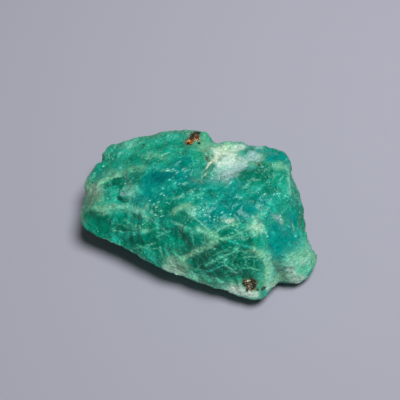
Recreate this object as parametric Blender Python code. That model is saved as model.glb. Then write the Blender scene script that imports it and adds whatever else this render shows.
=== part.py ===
"""Rough green hauyne: one broken stone, lying on a small flat spot of its underside.

The stone is drawn as a surveyor would draw a hill. One outline is its widest line in
plan. Ridges, hollows and knobs carry the heights of the upper side, and a second set of
lines carries the underside. The triangles stretched between the lines are its broken
faces. They are then worn, roughened and pitted, and the stone is cut level to rest.

Lengths are in millimetres until the solid is made. +X is the stone's length, +Y points
to its back, +Z is up, and the spot that it rests on is at height zero.
"""

import bmesh
import bpy
from mathutils import Matrix, Vector, geometry, noise

MM = 0.001

# The size of the grains that wear away one by one, which blunts every sharp edge.
GRAIN = 0.45
# The share of the worn surface's small faces that is kept. Flat stretches give up most of theirs.
KEPT_FACES = 0.34
# How many times each worn corner is rubbed half way to the middle of its neighbours.
RUBS = 3
# The bumps of the broken faces: how far apart they are, and how high.
BUMPS = ((6.0, 0.50), (2.6, 0.30), (1.5, 0.12))
# The cleavage steps: the rise from one tread to the next, and the most that one stands out.
STEP_RISE = 1.3
STEP_DEPTH = 0.28
# The way that the cleavage planes face.
CLEAVAGE = Vector((0.42, -0.55, 0.72)).normalized()

# The widest line in plan, anticlockwise from the west tip: X, Y and height.
OUTLINE = (
    # west tip
    (-19.8, -0.8, 5.0), (-20.0, -2.2, 4.5), (-19.1, -3.6, 4.5), (-17.5, -4.2, 4.0),
    (-16.7, -5.4, 4.0), (-14.9, -5.4, 4.0),
    # sharp lower edge of the front
    (-12.7, -6.3, 4.0), (-11.2, -7.1, 4.0), (-8.6, -8.5, 3.5), (-7.0, -9.8, 3.5),
    (-5.3, -10.7, 3.5), (-3.5, -11.1, 3.0), (-0.5, -12.0, 3.0), (1.5, -12.6, 2.5),
    (3.3, -13.2, 2.5), (6.4, -14.3, 2.0),
    # south tip
    (8.0, -14.7, 2.0), (9.6, -14.7, 2.0), (10.7, -14.2, 1.5), (11.3, -12.8, 1.5),
    # mouth of the gully
    (12.2, -11.6, 1.5), (13.2, -11.2, 1.2), (14.2, -11.3, 1.2),
    # east lobe
    (16.0, -11.4, 1.2), (17.5, -10.2, 1.2), (18.8, -8.9, 1.5), (19.3, -7.4, 2.2),
    (18.8, -6.1, 3.2), (17.7, -4.8, 4.0),
    # east side
    (17.1, -3.6, 4.5), (16.9, -1.8, 5.0), (17.0, 0.5, 5.0), (16.6, 2.4, 5.0),
    (16.1, 4.4, 5.0), (15.5, 8.5, 5.0), (15.3, 10.0, 4.5),
    # back
    (14.0, 11.6, 4.5), (11.0, 12.5, 4.0), (8.0, 12.9, 4.0), (5.5, 12.6, 4.0),
    (3.2, 12.3, 4.0), (1.2, 13.8, 4.5), (-1.4, 15.0, 4.5), (-4.5, 15.1, 4.5),
    (-7.5, 14.5, 4.5), (-10.5, 14.0, 4.5), (-13.6, 13.5, 4.0), (-16.0, 12.6, 4.0),
    (-16.5, 10.6, 4.5), (-16.8, 8.9, 4.5), (-19.0, 6.1, 5.0), (-19.4, 3.0, 5.0),
)

# Ridges, hollows and knobs of the upper side.
UPPER = {
    "front brow": (
        (-17.8, -0.7, 7.0), (-15.7, -1.2, 7.5), (-13.2, -1.0, 8.0), (-10.8, -1.5, 8.5),
        (-7.8, -3.7, 9.5), (-5.0, -5.0, 10.0), (-2.0, -6.2, 10.5), (1.0, -7.4, 11.0),
        (3.0, -8.4, 11.0), (6.5, -8.5, 10.5), (9.0, -8.0, 10.0),
    ),
    "front edge of the east end": (
        (9.0, -8.0, 10.0), (10.2, -8.5, 9.0), (10.2, -10.2, 8.0), (10.5, -11.3, 6.0),
        (10.8, -12.3, 3.5),
    ),
    "gully": ((11.8, -9.0, 7.0), (12.0, -10.0, 5.0), (12.9, -10.5, 2.8)),
    "crest of the lobe": ((13.4, -9.1, 6.5), (14.5, -9.9, 5.2), (15.3, -10.3, 3.2)),
    "shoulder of the lobe": ((13.4, -9.1, 6.5), (16.2, -7.2, 5.5), (18.0, -6.8, 3.8)),
    "head of the east face": ((10.5, -3.7, 10.5), (10.8, -6.0, 10.0), (11.1, -8.0, 8.5)),
    "east shoulder": ((13.9, 6.6, 9.0), (14.1, 3.5, 9.2), (14.6, 0.2, 8.5)),
    "back crest": (
        (-17.4, 7.5, 6.2), (-16.2, 9.0, 6.0), (-16.2, 10.8, 6.5), (-15.7, 12.0, 7.0),
        (-13.8, 12.2, 7.2), (-11.6, 12.6, 7.5), (-9.8, 13.0, 8.0), (-7.6, 13.0, 8.5),
        (-6.3, 13.7, 9.0), (-4.0, 13.9, 9.0), (-1.4, 13.3, 9.3), (0.5, 13.2, 9.3),
        (1.7, 12.8, 9.0), (2.1, 11.5, 8.4), (2.8, 10.9, 7.8), (4.2, 11.8, 8.0),
        (6.0, 12.0, 8.0), (8.0, 11.4, 8.0), (11.0, 11.2, 8.0), (12.5, 10.4, 8.0),
        (13.8, 9.9, 7.8), (14.6, 9.2, 7.5),
    ),
    "step above the pale hollow": (
        (2.2, 9.2, 10.0), (1.3, 6.2, 10.8), (0.8, 4.0, 11.1), (0.3, 2.5, 11.2),
    ),
    "foot of the step": ((3.0, 8.9, 8.9), (2.5, 6.5, 9.2), (1.8, 4.3, 9.8), (1.0, 2.2, 10.6)),
    "floor of the pale hollow": ((4.5, 9.0, 8.4), (5.2, 6.6, 8.8), (6.0, 4.8, 9.6)),
    "far side of the pale hollow": (
        (6.4, 2.6, 10.8), (8.4, 4.0, 10.6), (10.0, 5.6, 10.4), (11.4, 6.9, 10.0),
    ),
    "west ridge": (
        (-16.6, 3.4, 7.7), (-15.4, 4.2, 8.2), (-13.8, 5.0, 8.6), (-11.9, 5.3, 9.1),
        (-9.4, 5.2, 9.8), (-6.2, 5.8, 10.4), (-3.3, 6.9, 10.9), (-1.0, 7.5, 11.0),
    ),
    "west hollow": ((-15.2, 3.4, 7.1), (-13.0, 3.6, 7.5), (-11.4, 3.7, 8.2)),
    "west bench": ((-16.1, 1.6, 7.6), (-12.8, 1.4, 8.8), (-10.2, 1.4, 9.4)),
    "lower west hollow": ((-13.0, 0.3, 8.0), (-11.0, 0.0, 8.4)),
    "smooth middle face": ((-8.4, 2.6, 9.8), (-4.4, 2.3, 10.8), (-2.0, 0.4, 11.2)),
    "front of the middle": ((-7.6, -0.4, 10.0), (-5.2, -2.2, 10.5)),
    "middle knob": ((-1.3, -3.6, 11.4),),
    "east knob": ((9.0, -5.8, 10.9),),
    "summit": ((0.3, -1.8, 11.5), (6.4, -2.6, 11.3)),
    "top of the east end": ((10.0, -2.3, 10.8), (12.9, 1.0, 10.0)),
}

# The underside. What lies below zero is cut away, which leaves the spot that the stone rests on.
UNDER = {
    "rim of the foot": (
        (-3.0, -2.0, -0.1), (0.5, -5.0, -0.1), (6.0, -6.5, -0.1), (9.5, -5.5, -0.1),
        (9.0, 0.0, -0.1), (6.0, 3.5, -0.1), (1.0, 4.5, -0.1), (-3.0, 3.0, -0.1),
        (-3.0, -2.0, -0.1),
    ),
    "middle of the foot": ((3.0, -1.0, -0.8),),
    "belly around the foot": (
        (-7.5, -4.0, 0.9), (-0.5, -8.5, 0.7), (7.5, -10.2, 0.5), (13.0, -8.6, 0.4),
        (13.0, 0.0, 0.6), (8.5, 6.2, 0.8), (0.0, 7.8, 0.9), (-7.0, 5.6, 1.0),
        (-7.5, -4.0, 0.9),
    ),
    "west keel": ((-13.0, -0.6, 2.4), (-10.0, 0.6, 1.5)),
    "west flank": ((-14.4, 6.6, 2.8), (-10.5, 8.0, 2.0)),
    "back flank": ((-4.8, 10.8, 2.4), (3.4, 10.4, 1.9), (9.2, 9.4, 1.8)),
    "east flank": ((14.2, 5.4, 2.2), (15.2, -1.6, 1.6)),
    "under the lobe": ((16.8, -8.2, 0.5),),
    "front flank": ((-6.0, -7.4, 1.9), (2.6, -11.0, 1.4), (9.4, -12.6, 0.9)),
}

# Pits that hold rusty grains: the middle and radius of each.
PITS = (
    ((-0.9, 12.0, 10.1), 1.3),
    ((8.1, -13.9, 4.2), 1.3),
)


def clear_scene():
    for existing in list(bpy.data.objects):
        bpy.data.objects.remove(existing)


def stretched_skin(lines):
    """Triangles stretched over the outline and these lines, with every line kept as an edge."""
    places = list(OUTLINE)
    edges = [(i, (i + 1) % len(OUTLINE)) for i in range(len(OUTLINE))]
    for line in lines.values():
        start = len(places)
        places.extend(line)
        edges.extend((i, i + 1) for i in range(start, len(places) - 1))
    plan = [Vector(place[:2]) for place in places]
    inside_outline = 1
    found = geometry.delaunay_2d_cdt(plan, edges, [range(len(OUTLINE))], inside_outline, 1e-4)
    points, faces, sources = found[0], found[2], found[3]
    return [(x, y, places[source[0]][2]) for (x, y), source in zip(points, sources)], faces


def broken_block():
    """The closed block between the upper side and the underside, which meet at the outline."""
    block = bmesh.new()
    shared = {place: block.verts.new(place) for place in OUTLINE}
    for lines, faces_up in ((UPPER, True), (UNDER, False)):
        places, faces = stretched_skin(lines)
        corners = [shared.get(place) or block.verts.new(place) for place in places]
        for face in faces:
            around = face if faces_up else face[::-1]
            block.faces.new([corners[i] for i in around])
    bmesh.ops.recalc_face_normals(block, faces=block.faces)
    return block


def object_of(name, shape):
    mesh = bpy.data.meshes.new(name)
    shape.to_mesh(mesh)
    shape.free()
    made = bpy.data.objects.new(name, mesh)
    bpy.context.scene.collection.objects.link(made)
    return made


def apply_modifiers(stone):
    bpy.context.view_layer.update()
    graph = bpy.context.evaluated_depsgraph_get()
    shaped = bpy.data.meshes.new_from_object(stone.evaluated_get(graph))
    stone.modifiers.clear()
    stone.data = shaped


def wear_edges(stone):
    """Rebuilds the surface from even faces, which takes the knife edge off the ridges."""
    worn = stone.modifiers.new("wear", "REMESH")
    worn.mode = "VOXEL"
    worn.voxel_size = GRAIN
    apply_modifiers(stone)


def bump_height(place):
    """Height of the soft bumps at this place."""
    return sum(high * noise.noise(place / apart + Vector((apart, 0, 0))) for apart, high in BUMPS)


def step_height(place):
    """How far the cleavage tread at this place stands out. The steps fade in and out."""
    wander = 1.2 * noise.noise(place / 8.0)
    along = place.dot(CLEAVAGE) / STEP_RISE + wander
    strength = max(0.0, 0.4 + noise.noise(place / 5.0 + Vector((0, 9, 0))))
    return STEP_DEPTH * strength * (along % 1.0 - 0.5)


def roughness_at(vertex):
    """The shift that roughens the surface at this vertex. The sharpest edges move the least."""
    height = bump_height(vertex.co) + step_height(vertex.co)
    return vertex.normal * height / vertex.calc_shell_factor() ** 3


def roughen_faces(stone):
    rough = bmesh.new()
    rough.from_mesh(stone.data)
    all_ways = {"use_axis_x": True, "use_axis_y": True, "use_axis_z": True}
    for _ in range(RUBS):
        bmesh.ops.smooth_vert(rough, verts=rough.verts, factor=0.5, **all_ways)
    rough.normal_update()
    shifts = [roughness_at(vertex) for vertex in rough.verts]
    for vertex, shift in zip(rough.verts, shifts):
        vertex.co += shift
    rough.to_mesh(stone.data)
    rough.free()


def thin_out_flat_faces(stone):
    fewer = stone.modifiers.new("fewer faces", "DECIMATE")
    fewer.ratio = KEPT_FACES
    apply_modifiers(stone)


def pit_cutter(number, middle, radius):
    """A lumpy ball that cuts one pit."""
    ball = bmesh.new()
    bmesh.ops.create_icosphere(ball, subdivisions=2, radius=radius)
    for vertex in ball.verts:
        vertex.co *= 1.0 + 0.5 * noise.noise(vertex.co * 1.3 + Vector((3.0 * number, 0, 0)))
    bmesh.ops.translate(ball, verts=ball.verts, vec=middle)
    cutter = object_of(f"pit_{number}", ball)
    cutter.hide_render = True
    cutter.display_type = "WIRE"
    return cutter


def sink_pits(stone):
    for number, (middle, radius) in enumerate(PITS):
        cut = stone.modifiers.new(f"pit {number}", "BOOLEAN")
        cut.operation = "DIFFERENCE"
        cut.solver = "EXACT"
        cut.object = pit_cutter(number, middle, radius)
    apply_modifiers(stone)


def cut_level(stone):
    """Cuts the underside off flat at height zero, and leaves the flat spot as one face."""
    whole = bmesh.new()
    whole.from_mesh(stone.data)
    everything = whole.verts[:] + whole.edges[:] + whole.faces[:]
    cut = bmesh.ops.bisect_plane(
        whole, geom=everything, dist=1e-4, plane_co=(0, 0, 0), plane_no=(0, 0, -1), clear_outer=True
    )
    rim = [item for item in cut["geom_cut"] if isinstance(item, bmesh.types.BMEdge)]
    bmesh.ops.contextual_create(whole, geom=rim)
    bmesh.ops.recalc_face_normals(whole, faces=whole.faces)
    whole.to_mesh(stone.data)
    whole.free()


def centre_over_origin(stone):
    """Moves the stone so that the middle of its box is over the origin."""
    corners = [Vector(corner) for corner in stone.bound_box]
    middle = (corners[0] + corners[6]) / 2
    stone.data.transform(Matrix.Translation((-middle.x, -middle.y, 0)))


def colour(stone):
    material = bpy.data.materials.new("green hauyne")
    material.use_nodes = True
    shader = material.node_tree.nodes["Principled BSDF"]
    shader.inputs["Base Color"].default_value = (0.03, 0.32, 0.24, 1.0)
    shader.inputs["Roughness"].default_value = 0.4
    shader.inputs["Metallic"].default_value = 0.0
    stone.data.materials.clear()
    stone.data.materials.append(material)


def main():
    clear_scene()
    stone = object_of("hauyne_stone", broken_block())
    wear_edges(stone)
    roughen_faces(stone)
    thin_out_flat_faces(stone)
    sink_pits(stone)
    cut_level(stone)
    centre_over_origin(stone)
    stone.data.transform(Matrix.Scale(MM, 4))
    stone.data.shade_smooth()
    colour(stone)


main()
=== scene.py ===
"""A rough green hauyne: its broken, veined surface, the rust in its pits, and the studio round it."""

import math
import random

import bpy
import numpy as np
from mathutils import Euler, Matrix, Vector, noise
from mathutils.bvhtree import BVHTree


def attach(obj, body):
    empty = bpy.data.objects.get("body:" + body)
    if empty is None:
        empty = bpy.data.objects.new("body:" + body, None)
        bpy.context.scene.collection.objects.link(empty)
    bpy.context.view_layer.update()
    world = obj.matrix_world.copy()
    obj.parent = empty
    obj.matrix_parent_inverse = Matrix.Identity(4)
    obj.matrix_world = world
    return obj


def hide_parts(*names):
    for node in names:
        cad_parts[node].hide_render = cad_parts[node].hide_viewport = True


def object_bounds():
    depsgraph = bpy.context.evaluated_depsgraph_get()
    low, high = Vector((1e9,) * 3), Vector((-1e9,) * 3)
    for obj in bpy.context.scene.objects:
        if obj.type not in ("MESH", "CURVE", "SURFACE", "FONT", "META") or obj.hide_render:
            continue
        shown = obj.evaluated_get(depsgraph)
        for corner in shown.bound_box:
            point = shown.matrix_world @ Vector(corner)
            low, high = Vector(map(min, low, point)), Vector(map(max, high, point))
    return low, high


bl_info = {
    "name": "Rough green hauyne",
    "version": (1, 0, 0),
    "blender": (4, 5, 0),
    "location": "3D View > Sidebar > Rough stone",
    "description": "Dresses the plain solid of a rough green stone and sets up its studio",
    "category": "Object",
}

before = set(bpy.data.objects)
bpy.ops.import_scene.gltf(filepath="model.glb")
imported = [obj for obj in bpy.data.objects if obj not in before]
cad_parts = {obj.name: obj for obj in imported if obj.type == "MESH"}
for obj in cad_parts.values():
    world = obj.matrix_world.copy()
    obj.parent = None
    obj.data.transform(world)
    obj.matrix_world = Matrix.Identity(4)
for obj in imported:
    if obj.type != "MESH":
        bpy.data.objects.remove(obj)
SOLID_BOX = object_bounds()
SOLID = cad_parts["hauyne_stone"]
MM = 0.001


def shade(red, green, blue):
    """A colour as a screen shows it, 0 to 255 a channel, as the linear values that Blender keeps."""
    channels = np.array((red, green, blue)) / 255.0
    linear = np.where(channels < 0.04045, channels / 12.92, ((channels + 0.055) / 1.055) ** 2.4)
    return tuple(float(c) for c in linear)


def colour_setting(name, description, rgb):
    return bpy.props.FloatVectorProperty(
        name=name, description=description, default=shade(*rgb), subtype="COLOR", size=3, min=0.0, max=1.0
    )


def length_setting(name, description, default_mm):
    return bpy.props.FloatProperty(
        name=name, description=description, default=default_mm * MM, min=0.0, unit="LENGTH", precision=5
    )


class StoneSurface(bpy.types.PropertyGroup):
    """How coarsely the stone is broken."""

    fineness: length_setting("Fineness", "Edge length of the surface's mesh", 0.138)
    underside_share: bpy.props.FloatProperty(
        name="Underside faces",
        description="Share of all the faces that is kept once the underside is thinned",
        default=0.62, min=0.5, max=1.0, subtype="FACTOR",
    )
    step_rise: length_setting("Step rise", "Height of the cleavage steps", 0.10)
    chip_size: length_setting("Chip size", "Width of the small flat chips", 1.3)
    chip_lift: length_setting("Chip lift", "How far a chip's edge stands proud of its neighbour", 0.10)
    grain_lift: length_setting("Grain lift", "Height of the sugary grain", 0.040)
    crystal_size: length_setting("Crystal size", "Width of the tiny facets that glitter", 0.42)
    crystal_lift: length_setting("Crystal lift", "How far a tiny facet's edge stands proud", 0.050)


class StoneColours(bpy.types.PropertyGroup):
    """The colours that the stone is mottled and veined with, and those of its rust."""

    sea_green: colour_setting("Sea green", "The ground colour of the stone", (0, 152, 122))
    blue_teal: colour_setting("Blue teal", "The clear, deep patches", (0, 141, 130))
    ink_teal: colour_setting("Ink teal", "The darkest heart of the clear patches", (0, 108, 104))
    bottle_green: colour_setting("Bottle green", "The dark green between the veins", (0, 115, 90))
    pine: colour_setting("Pine", "The darkest green cells", (0, 76, 58))
    leaf_green: colour_setting("Leaf green", "The warmer green patches", (36, 152, 108))
    pale_teal: colour_setting("Pale teal", "The milky bluish green haze", (50, 188, 162))
    mint: colour_setting("Mint", "The milky blots and streaks", (122, 212, 182))
    vein_green: colour_setting("Vein green", "The fine veins", (106, 196, 156))
    pale_moss: colour_setting("Pale moss", "The beige green bands", (124, 194, 156))
    cloud_white: colour_setting("Cloud white", "The white cloudy hollow", (208, 234, 216))
    ice_blue: colour_setting("Ice blue", "The bluish edge of the white cloud", (160, 200, 198))
    cream: colour_setting("Cream", "The vein beside the cloud, and the palest grains", (224, 234, 200))
    olive_grey: colour_setting("Olive grey", "The dull stained ends", (102, 136, 116))
    bark_brown: colour_setting("Bark brown", "The brown stain round the rust, and its grains", (96, 92, 66))
    rust: colour_setting("Rust", "The orange rust grains", (208, 128, 34))
    tan: colour_setting("Tan", "The pale, dusty rust", (206, 176, 134))
    russet: colour_setting("Russet", "The red brown rust", (118, 52, 22))
    peat: colour_setting("Peat", "The olive brown rust grains at the front", (62, 58, 30))
    umber: colour_setting("Umber", "The dark rust grains and specks", (50, 32, 16))
    # Painted highlight: the bright colour of the glints and sparkles painted on the crushed specks.
    painted_glint: colour_setting("Glint", "The tiny crushed specks that catch the light", (158, 255, 236))


class Studio(bpy.types.PropertyGroup):
    """The floor, the light and the camera."""

    floor_colour: colour_setting("Floor", "The plain floor", (172, 173, 186))
    lamp_power: bpy.props.FloatProperty(
        name="Lamp power", description="Watts of the round soft lamp", default=1.0, min=0.0
    )
    lamp_size: length_setting("Lamp size", "Diameter of the round soft lamp", 180.0)
    lamp_distance: length_setting("Lamp distance", "From the lamp to the stone", 320.0)
    lamp_side: bpy.props.FloatVectorProperty(
        name="Lamp side", description="The direction in which the lamp hangs",
        default=(0.26, 0.10, 0.95), subtype="DIRECTION",
    )
    fill_strength: bpy.props.FloatProperty(
        name="Fill", description="Strength of the light all round", default=0.07, min=0.0
    )
    camera_tilt: bpy.props.FloatProperty(
        name="Camera tilt", description="How steeply the camera looks down",
        default=math.radians(58.5), subtype="ANGLE",
    )
    camera_distance: length_setting("Camera distance", "From the camera to the point it aims at", 123.0)
    camera_aim: bpy.props.FloatVectorProperty(
        name="Camera aim", description="The point at the middle of the picture",
        default=(0.3 * MM, 2.0 * MM, 5.0 * MM), subtype="XYZ", unit="LENGTH", precision=5,
    )
    camera_lens: bpy.props.FloatProperty(
        name="Lens", description="Focal length on a 36 mm sensor", default=67.14, subtype="DISTANCE_CAMERA"
    )


# The way the stone splits: its thin sheets lie across the first direction, and it also breaks
# across the second.
SHEET_NORMAL = Vector((-0.55, 0.80, 0.24)).normalized()
CROSS_NORMAL = Vector((0.72, 0.40, 0.56)).normalized()

# The longest step along a line that is traced over the stone, in millimetres.
TRACE_STEP = 0.4


def between(start, end, share):
    """The place that lies this share of the way from start to end."""
    return [a + (b - a) * share for a, b in zip(start, end)]


class ViewPlane:
    """The plane that faces the camera through its aim, with places across and up in millimetres."""

    def __init__(self, studio):
        tilt = studio.camera_tilt
        self.right = Vector((1.0, 0.0, 0.0))
        self.up = Vector((0.0, math.sin(tilt), math.cos(tilt)))
        self.forward = Vector((0.0, math.cos(tilt), -math.sin(tilt)))
        self.distance = studio.camera_distance
        self.eye = Vector(studio.camera_aim) - self.forward * self.distance

    def meets(self, tree, across, up):
        """Where the line of sight through a place meets the stone, and the way the stone faces there."""
        sight = self.forward * self.distance + (self.right * across + self.up * up) * MM
        hit, facing = tree.ray_cast(self.eye, sight.normalized())[:2]
        return (None, None) if hit is None else (hit / MM, facing)

    def trace(self, tree, places):
        """Points on the stone along the line through the places, close enough to follow its shape."""
        found = []
        for start, end in zip(places, places[1:]):
            count = max(1, math.ceil(math.dist(start, end) / TRACE_STEP))
            for i in range(count + 1):
                hit = self.meets(tree, *between(start, end, i / count))[0]
                if hit is not None:
                    found.append(hit)
        return np.array(found)


def rise(low, high, value):
    """0 below low, 1 above high, and smooth between."""
    share = np.clip((value - low) / (high - low), 0.0, 1.0)
    return share * share * (3.0 - 2.0 * share)


def shifted(seed, x, y, z):
    """How far a pattern is moved for its seed, so that no two patterns are alike."""
    return Vector((seed * x, seed * y, seed * z))


def cloud(points, size, seed, octaves=3):
    """Soft noise at each point, about -1 to 1, with features of the given size in millimetres."""
    shift = shifted(seed, 17.3, 5.9, 11.1)
    return np.array([noise.fractal(Vector(p) / size + shift, 1.0, 2.1, octaves) for p in points])


def clouds(points, size, seeds, octaves=3):
    """Soft noise in each of three directions."""
    return np.column_stack([cloud(points, size, seed, octaves) for seed in seeds])


def patches(points, size, seed, low, high, octaves=3):
    """Soft patches of the given size: 0 where the cloud is below low, and 1 where it is above high."""
    return rise(low, high, cloud(points, size, seed, octaves))


def sheeted(points, thickness, length, seed, normal=SHEET_NORMAL):
    """Noise drawn out along thin sheets that lie across a direction."""
    across = points @ np.array(normal)
    flat = points - np.outer(across, normal)
    return cloud(flat / length + np.outer(across, normal) / thickness, 1.0, seed)


def select_only(*objects):
    bpy.ops.object.select_all(action="DESELECT")
    for item in objects:
        item.select_set(True)
    bpy.context.view_layer.objects.active = objects[0]


def apply_all_modifiers(item):
    select_only(item)
    for modifier in list(item.modifiers):
        bpy.ops.object.modifier_apply(modifier=modifier.name)


def vertex_array(mesh, field="co"):
    """A row of three numbers for each vertex: its place, or its normal."""
    values = np.empty(len(mesh.vertices) * 3, np.float32)
    mesh.vertices.foreach_get(field, values)
    return values.reshape(-1, 3).astype(float)


def tree_of(item):
    """A search tree over the faces of a mesh object that sits at the origin."""
    mesh = item.data
    return BVHTree.FromPolygons([v.co for v in mesh.vertices], [tuple(p.vertices) for p in mesh.polygons])


# The solid's corners that lie closer together than this are one corner.
SAME_CORNER = 0.001 * MM
# Where the upward part of a normal is below this, the surface is underside.
UNDERSIDE_FACING = -0.4


def fine_copy(surface):
    """A copy of the plain solid with a fine, even mesh and fewer faces on its underside."""
    select_only(SOLID)
    bpy.ops.object.duplicate()
    stone = bpy.context.active_object
    stone.name = stone.data.name = "rough_stone"
    select_only(stone)
    bpy.ops.object.mode_set(mode="EDIT")
    bpy.ops.mesh.select_all(action="SELECT")
    bpy.ops.mesh.remove_doubles(threshold=SAME_CORNER)
    bpy.ops.mesh.normals_make_consistent(inside=False)
    bpy.ops.object.mode_set(mode="OBJECT")
    remesh = stone.modifiers.new("Even mesh", "REMESH")
    remesh.mode = "VOXEL"
    remesh.voxel_size = surface.fineness
    smooth = stone.modifiers.new("Soften", "SMOOTH")
    smooth.factor = 0.5
    smooth.iterations = 4
    apply_all_modifiers(stone)
    downward = np.flatnonzero(vertex_array(stone.data, "normal")[:, 2] < UNDERSIDE_FACING)
    underside = stone.vertex_groups.new(name="underside")
    underside.add([int(i) for i in downward], 1.0, "REPLACE")
    thin = stone.modifiers.new("Thin the underside", "DECIMATE")
    thin.ratio = surface.underside_share
    thin.vertex_group = underside.name
    apply_all_modifiers(stone)
    stone.vertex_groups.clear()
    return stone


# How much of a ledge is its slow rise, and how much its sharp drop.
LEDGE_RISE = 0.85
LEDGE_DROP = 0.15
# How far the ledges wander from straight, as a share of the way from one to the next.
LEDGE_WANDER = 0.9


def steps(points, normal, spacing, seed):
    """Broken ledges across a direction, each a slow rise and a sharp drop, that come and go."""
    sheets = points @ np.array(normal) / spacing + LEDGE_WANDER * cloud(points, 4.0, seed, octaves=2)
    share = sheets - np.floor(sheets)
    ledge = np.minimum(share / LEDGE_RISE, (1.0 - share) / LEDGE_DROP)
    return ledge * patches(points, 3.5, seed + 1, low=-0.1, high=0.4, octaves=2)


def chips(points, size, seed):
    """Small flat facets, each tilted its own way, about -1 to 1 at their rims."""
    shift = shifted(seed, 3.7, 9.1, 1.3)
    heights = np.empty(len(points))
    for i, p in enumerate(points):
        place = Vector(p) / size + shift
        centre = noise.voronoi(place)[1][0]
        tilt = noise.cell_vector(centre * 7.31) * 2.0 - Vector((1.0, 1.0, 1.0))
        heights[i] = (place - centre).dot(tilt)
    return heights


def nearness(points, trace, reach):
    """The points within reach of a trace, and how far each is from it."""
    if not len(trace):
        return np.empty(0, int), np.empty(0)
    inside = np.all((points > trace.min(axis=0) - reach) & (points < trace.max(axis=0) + reach), axis=1)
    near = np.flatnonzero(inside)
    gap = np.full(len(near), np.inf)
    for start, end in zip(trace, trace[1:] if len(trace) > 1 else trace):
        along = end - start
        offset = points[near] - start
        share = np.clip(offset @ along / max(along @ along, 1e-9), 0.0, 1.0)
        gap = np.minimum(gap, np.linalg.norm(offset - np.outer(share, along), axis=1))
    return near, gap


def stroke(points, view, tree, half_width, soft, places):
    """The points under a stroke along the places: 1 in its core, fading to 0 over its soft edge."""
    near, gap = nearness(points, view.trace(tree, places), half_width + soft)
    return near, 1.0 - rise(half_width, half_width + soft, gap)


# Dents and ridges of the photographed side: depth (a ridge is negative), half width, soft edge,
# places.
DENTS = (
    (0.13, 0.25, 0.50, ((-15.8, 2.3), (-15.0, 2.7), (-14.4, 3.1), (-13.0, 3.2))),
    (0.16, 0.30, 0.50, ((-13.0, 2.2), (-12.5, 2.6))),
    (0.13, 0.22, 0.50, ((-13.4, 0.2), (-12.6, 0.0), (-11.6, 0.1))),
    (-0.16, 0.15, 0.60, ((-16.8, 2.8), (-15.8, 3.3), (-14.6, 3.8), (-13.2, 4.2), (-11.8, 4.8))),
    (
        -0.18, 0.15, 0.60,
        ((-17.6, -1.6), (-16.0, -1.6), (-14.2, -1.0), (-12.2, -1.1), (-10.6, -1.9), (-9.0, -2.7)),
    ),
    (0.35, 0.15, 0.35, ((2.1, 5.7), (1.5, 5.0), (0.9, 4.2))),
    (0.30, 0.15, 0.35, ((1.0, 7.8), (1.3, 6.6))),
    (-0.20, 0.10, 0.35, ((2.3, 6.6), (1.6, 6.0), (1.0, 5.2))),
    (0.22, 0.10, 0.25, ((9.6, 5.7), (9.9, 5.7))),
    (0.16, 0.45, 0.50, ((-7.3, -1.9), (-6.6, -2.1))),
    (0.12, 0.15, 0.30, ((10.3, -3.3), (9.3, -4.0))),
    (-0.45, 0.50, 1.0, ((-18.6, 2.4), (-17.8, 3.8), (-16.9, 5.2), (-16.2, 6.4))),
    (-0.32, 0.30, 1.0, ((-15.6, 7.4), (-14.7, 8.5))),
    (-0.30, 0.40, 0.9, ((-12.0, 9.3), (-9.0, 10.0), (-6.0, 10.7), (-3.0, 11.0), (0.6, 10.6))),
    (-0.45, 0.40, 0.8, ((2.9, 8.7), (4.4, 9.0), (6.6, 9.0))),
    (-0.42, 0.25, 0.9, ((13.5, 7.6), (14.2, 6.8), (14.7, 5.4))),
    (0.35, 0.15, 0.4, ((1.9, 9.9), (2.2, 9.4))),
)

# Smooth, clear faces of the photographed side: half width, soft edge, places.
CLEAR_FACES = (
    (1.6, 1.3, ((12.9, -5.9), (14.4, -6.9))),
    (1.2, 1.4, ((-8.4, 2.5), (-5.6, 3.4), (-3.7, 3.8))),
    (0.7, 0.9, ((6.7, -1.9), (8.6, -1.9))),
    (0.4, 0.8, ((2.2, -1.6), (4.8, -2.3))),
    (0.4, 0.8, ((5.0, -5.3), (5.8, -5.4))),
    (0.4, 0.8, ((8.9, 2.7), (10.6, 3.8))),
    (0.4, 0.7, ((-1.2, -4.3), (-0.3, -4.6))),
    (0.3, 0.7, ((7.8, -7.2), (8.4, -7.6))),
    (0.7, 0.6, ((12.0, 7.0), (13.4, 7.5))),
    (0.8, 0.8, ((14.8, -2.2), (15.3, -3.4))),
    (0.8, 0.8, ((-17.0, -3.4), (-15.8, -4.4))),
)

# How clear the rest of the stone may be, in soft patches.
CHANCE_CLEARNESS = 0.4


def clearness(points, view, tree):
    """1 on the smooth, clear faces and 0 where the stone is crushed and grainy."""
    clear = CHANCE_CLEARNESS * patches(points, 4.5, seed=41, low=0.1, high=0.5, octaves=2)
    for half_width, soft, places in CLEAR_FACES:
        near, amount = stroke(points, view, tree, half_width, soft, places)
        clear[near] = np.maximum(clear[near], amount)
    return clear


# How far apart the ledges are across the sheets, and across the second way of breaking.
SHEET_SPACING = 1.25
CROSS_SPACING = 1.9
# The second ledges' height as a share of the first ones', and the fine chips' size and height
# as a share of the larger chips'.
CROSS_SHARE = 0.7
FINE_CHIP_SHARE = 0.45
# The width of the sugary grain.
SUGAR_SIZE = 0.55
# How much of the small relief a wholly clear face loses.
CLEAR_LOSS = 0.75
# The relief fades in over this height above the spot that the stone rests on.
FOOT_FADE = 0.4
# The relief never takes the surface further than this past the plain solid's box.
BOX_MARGIN = 0.5


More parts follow.
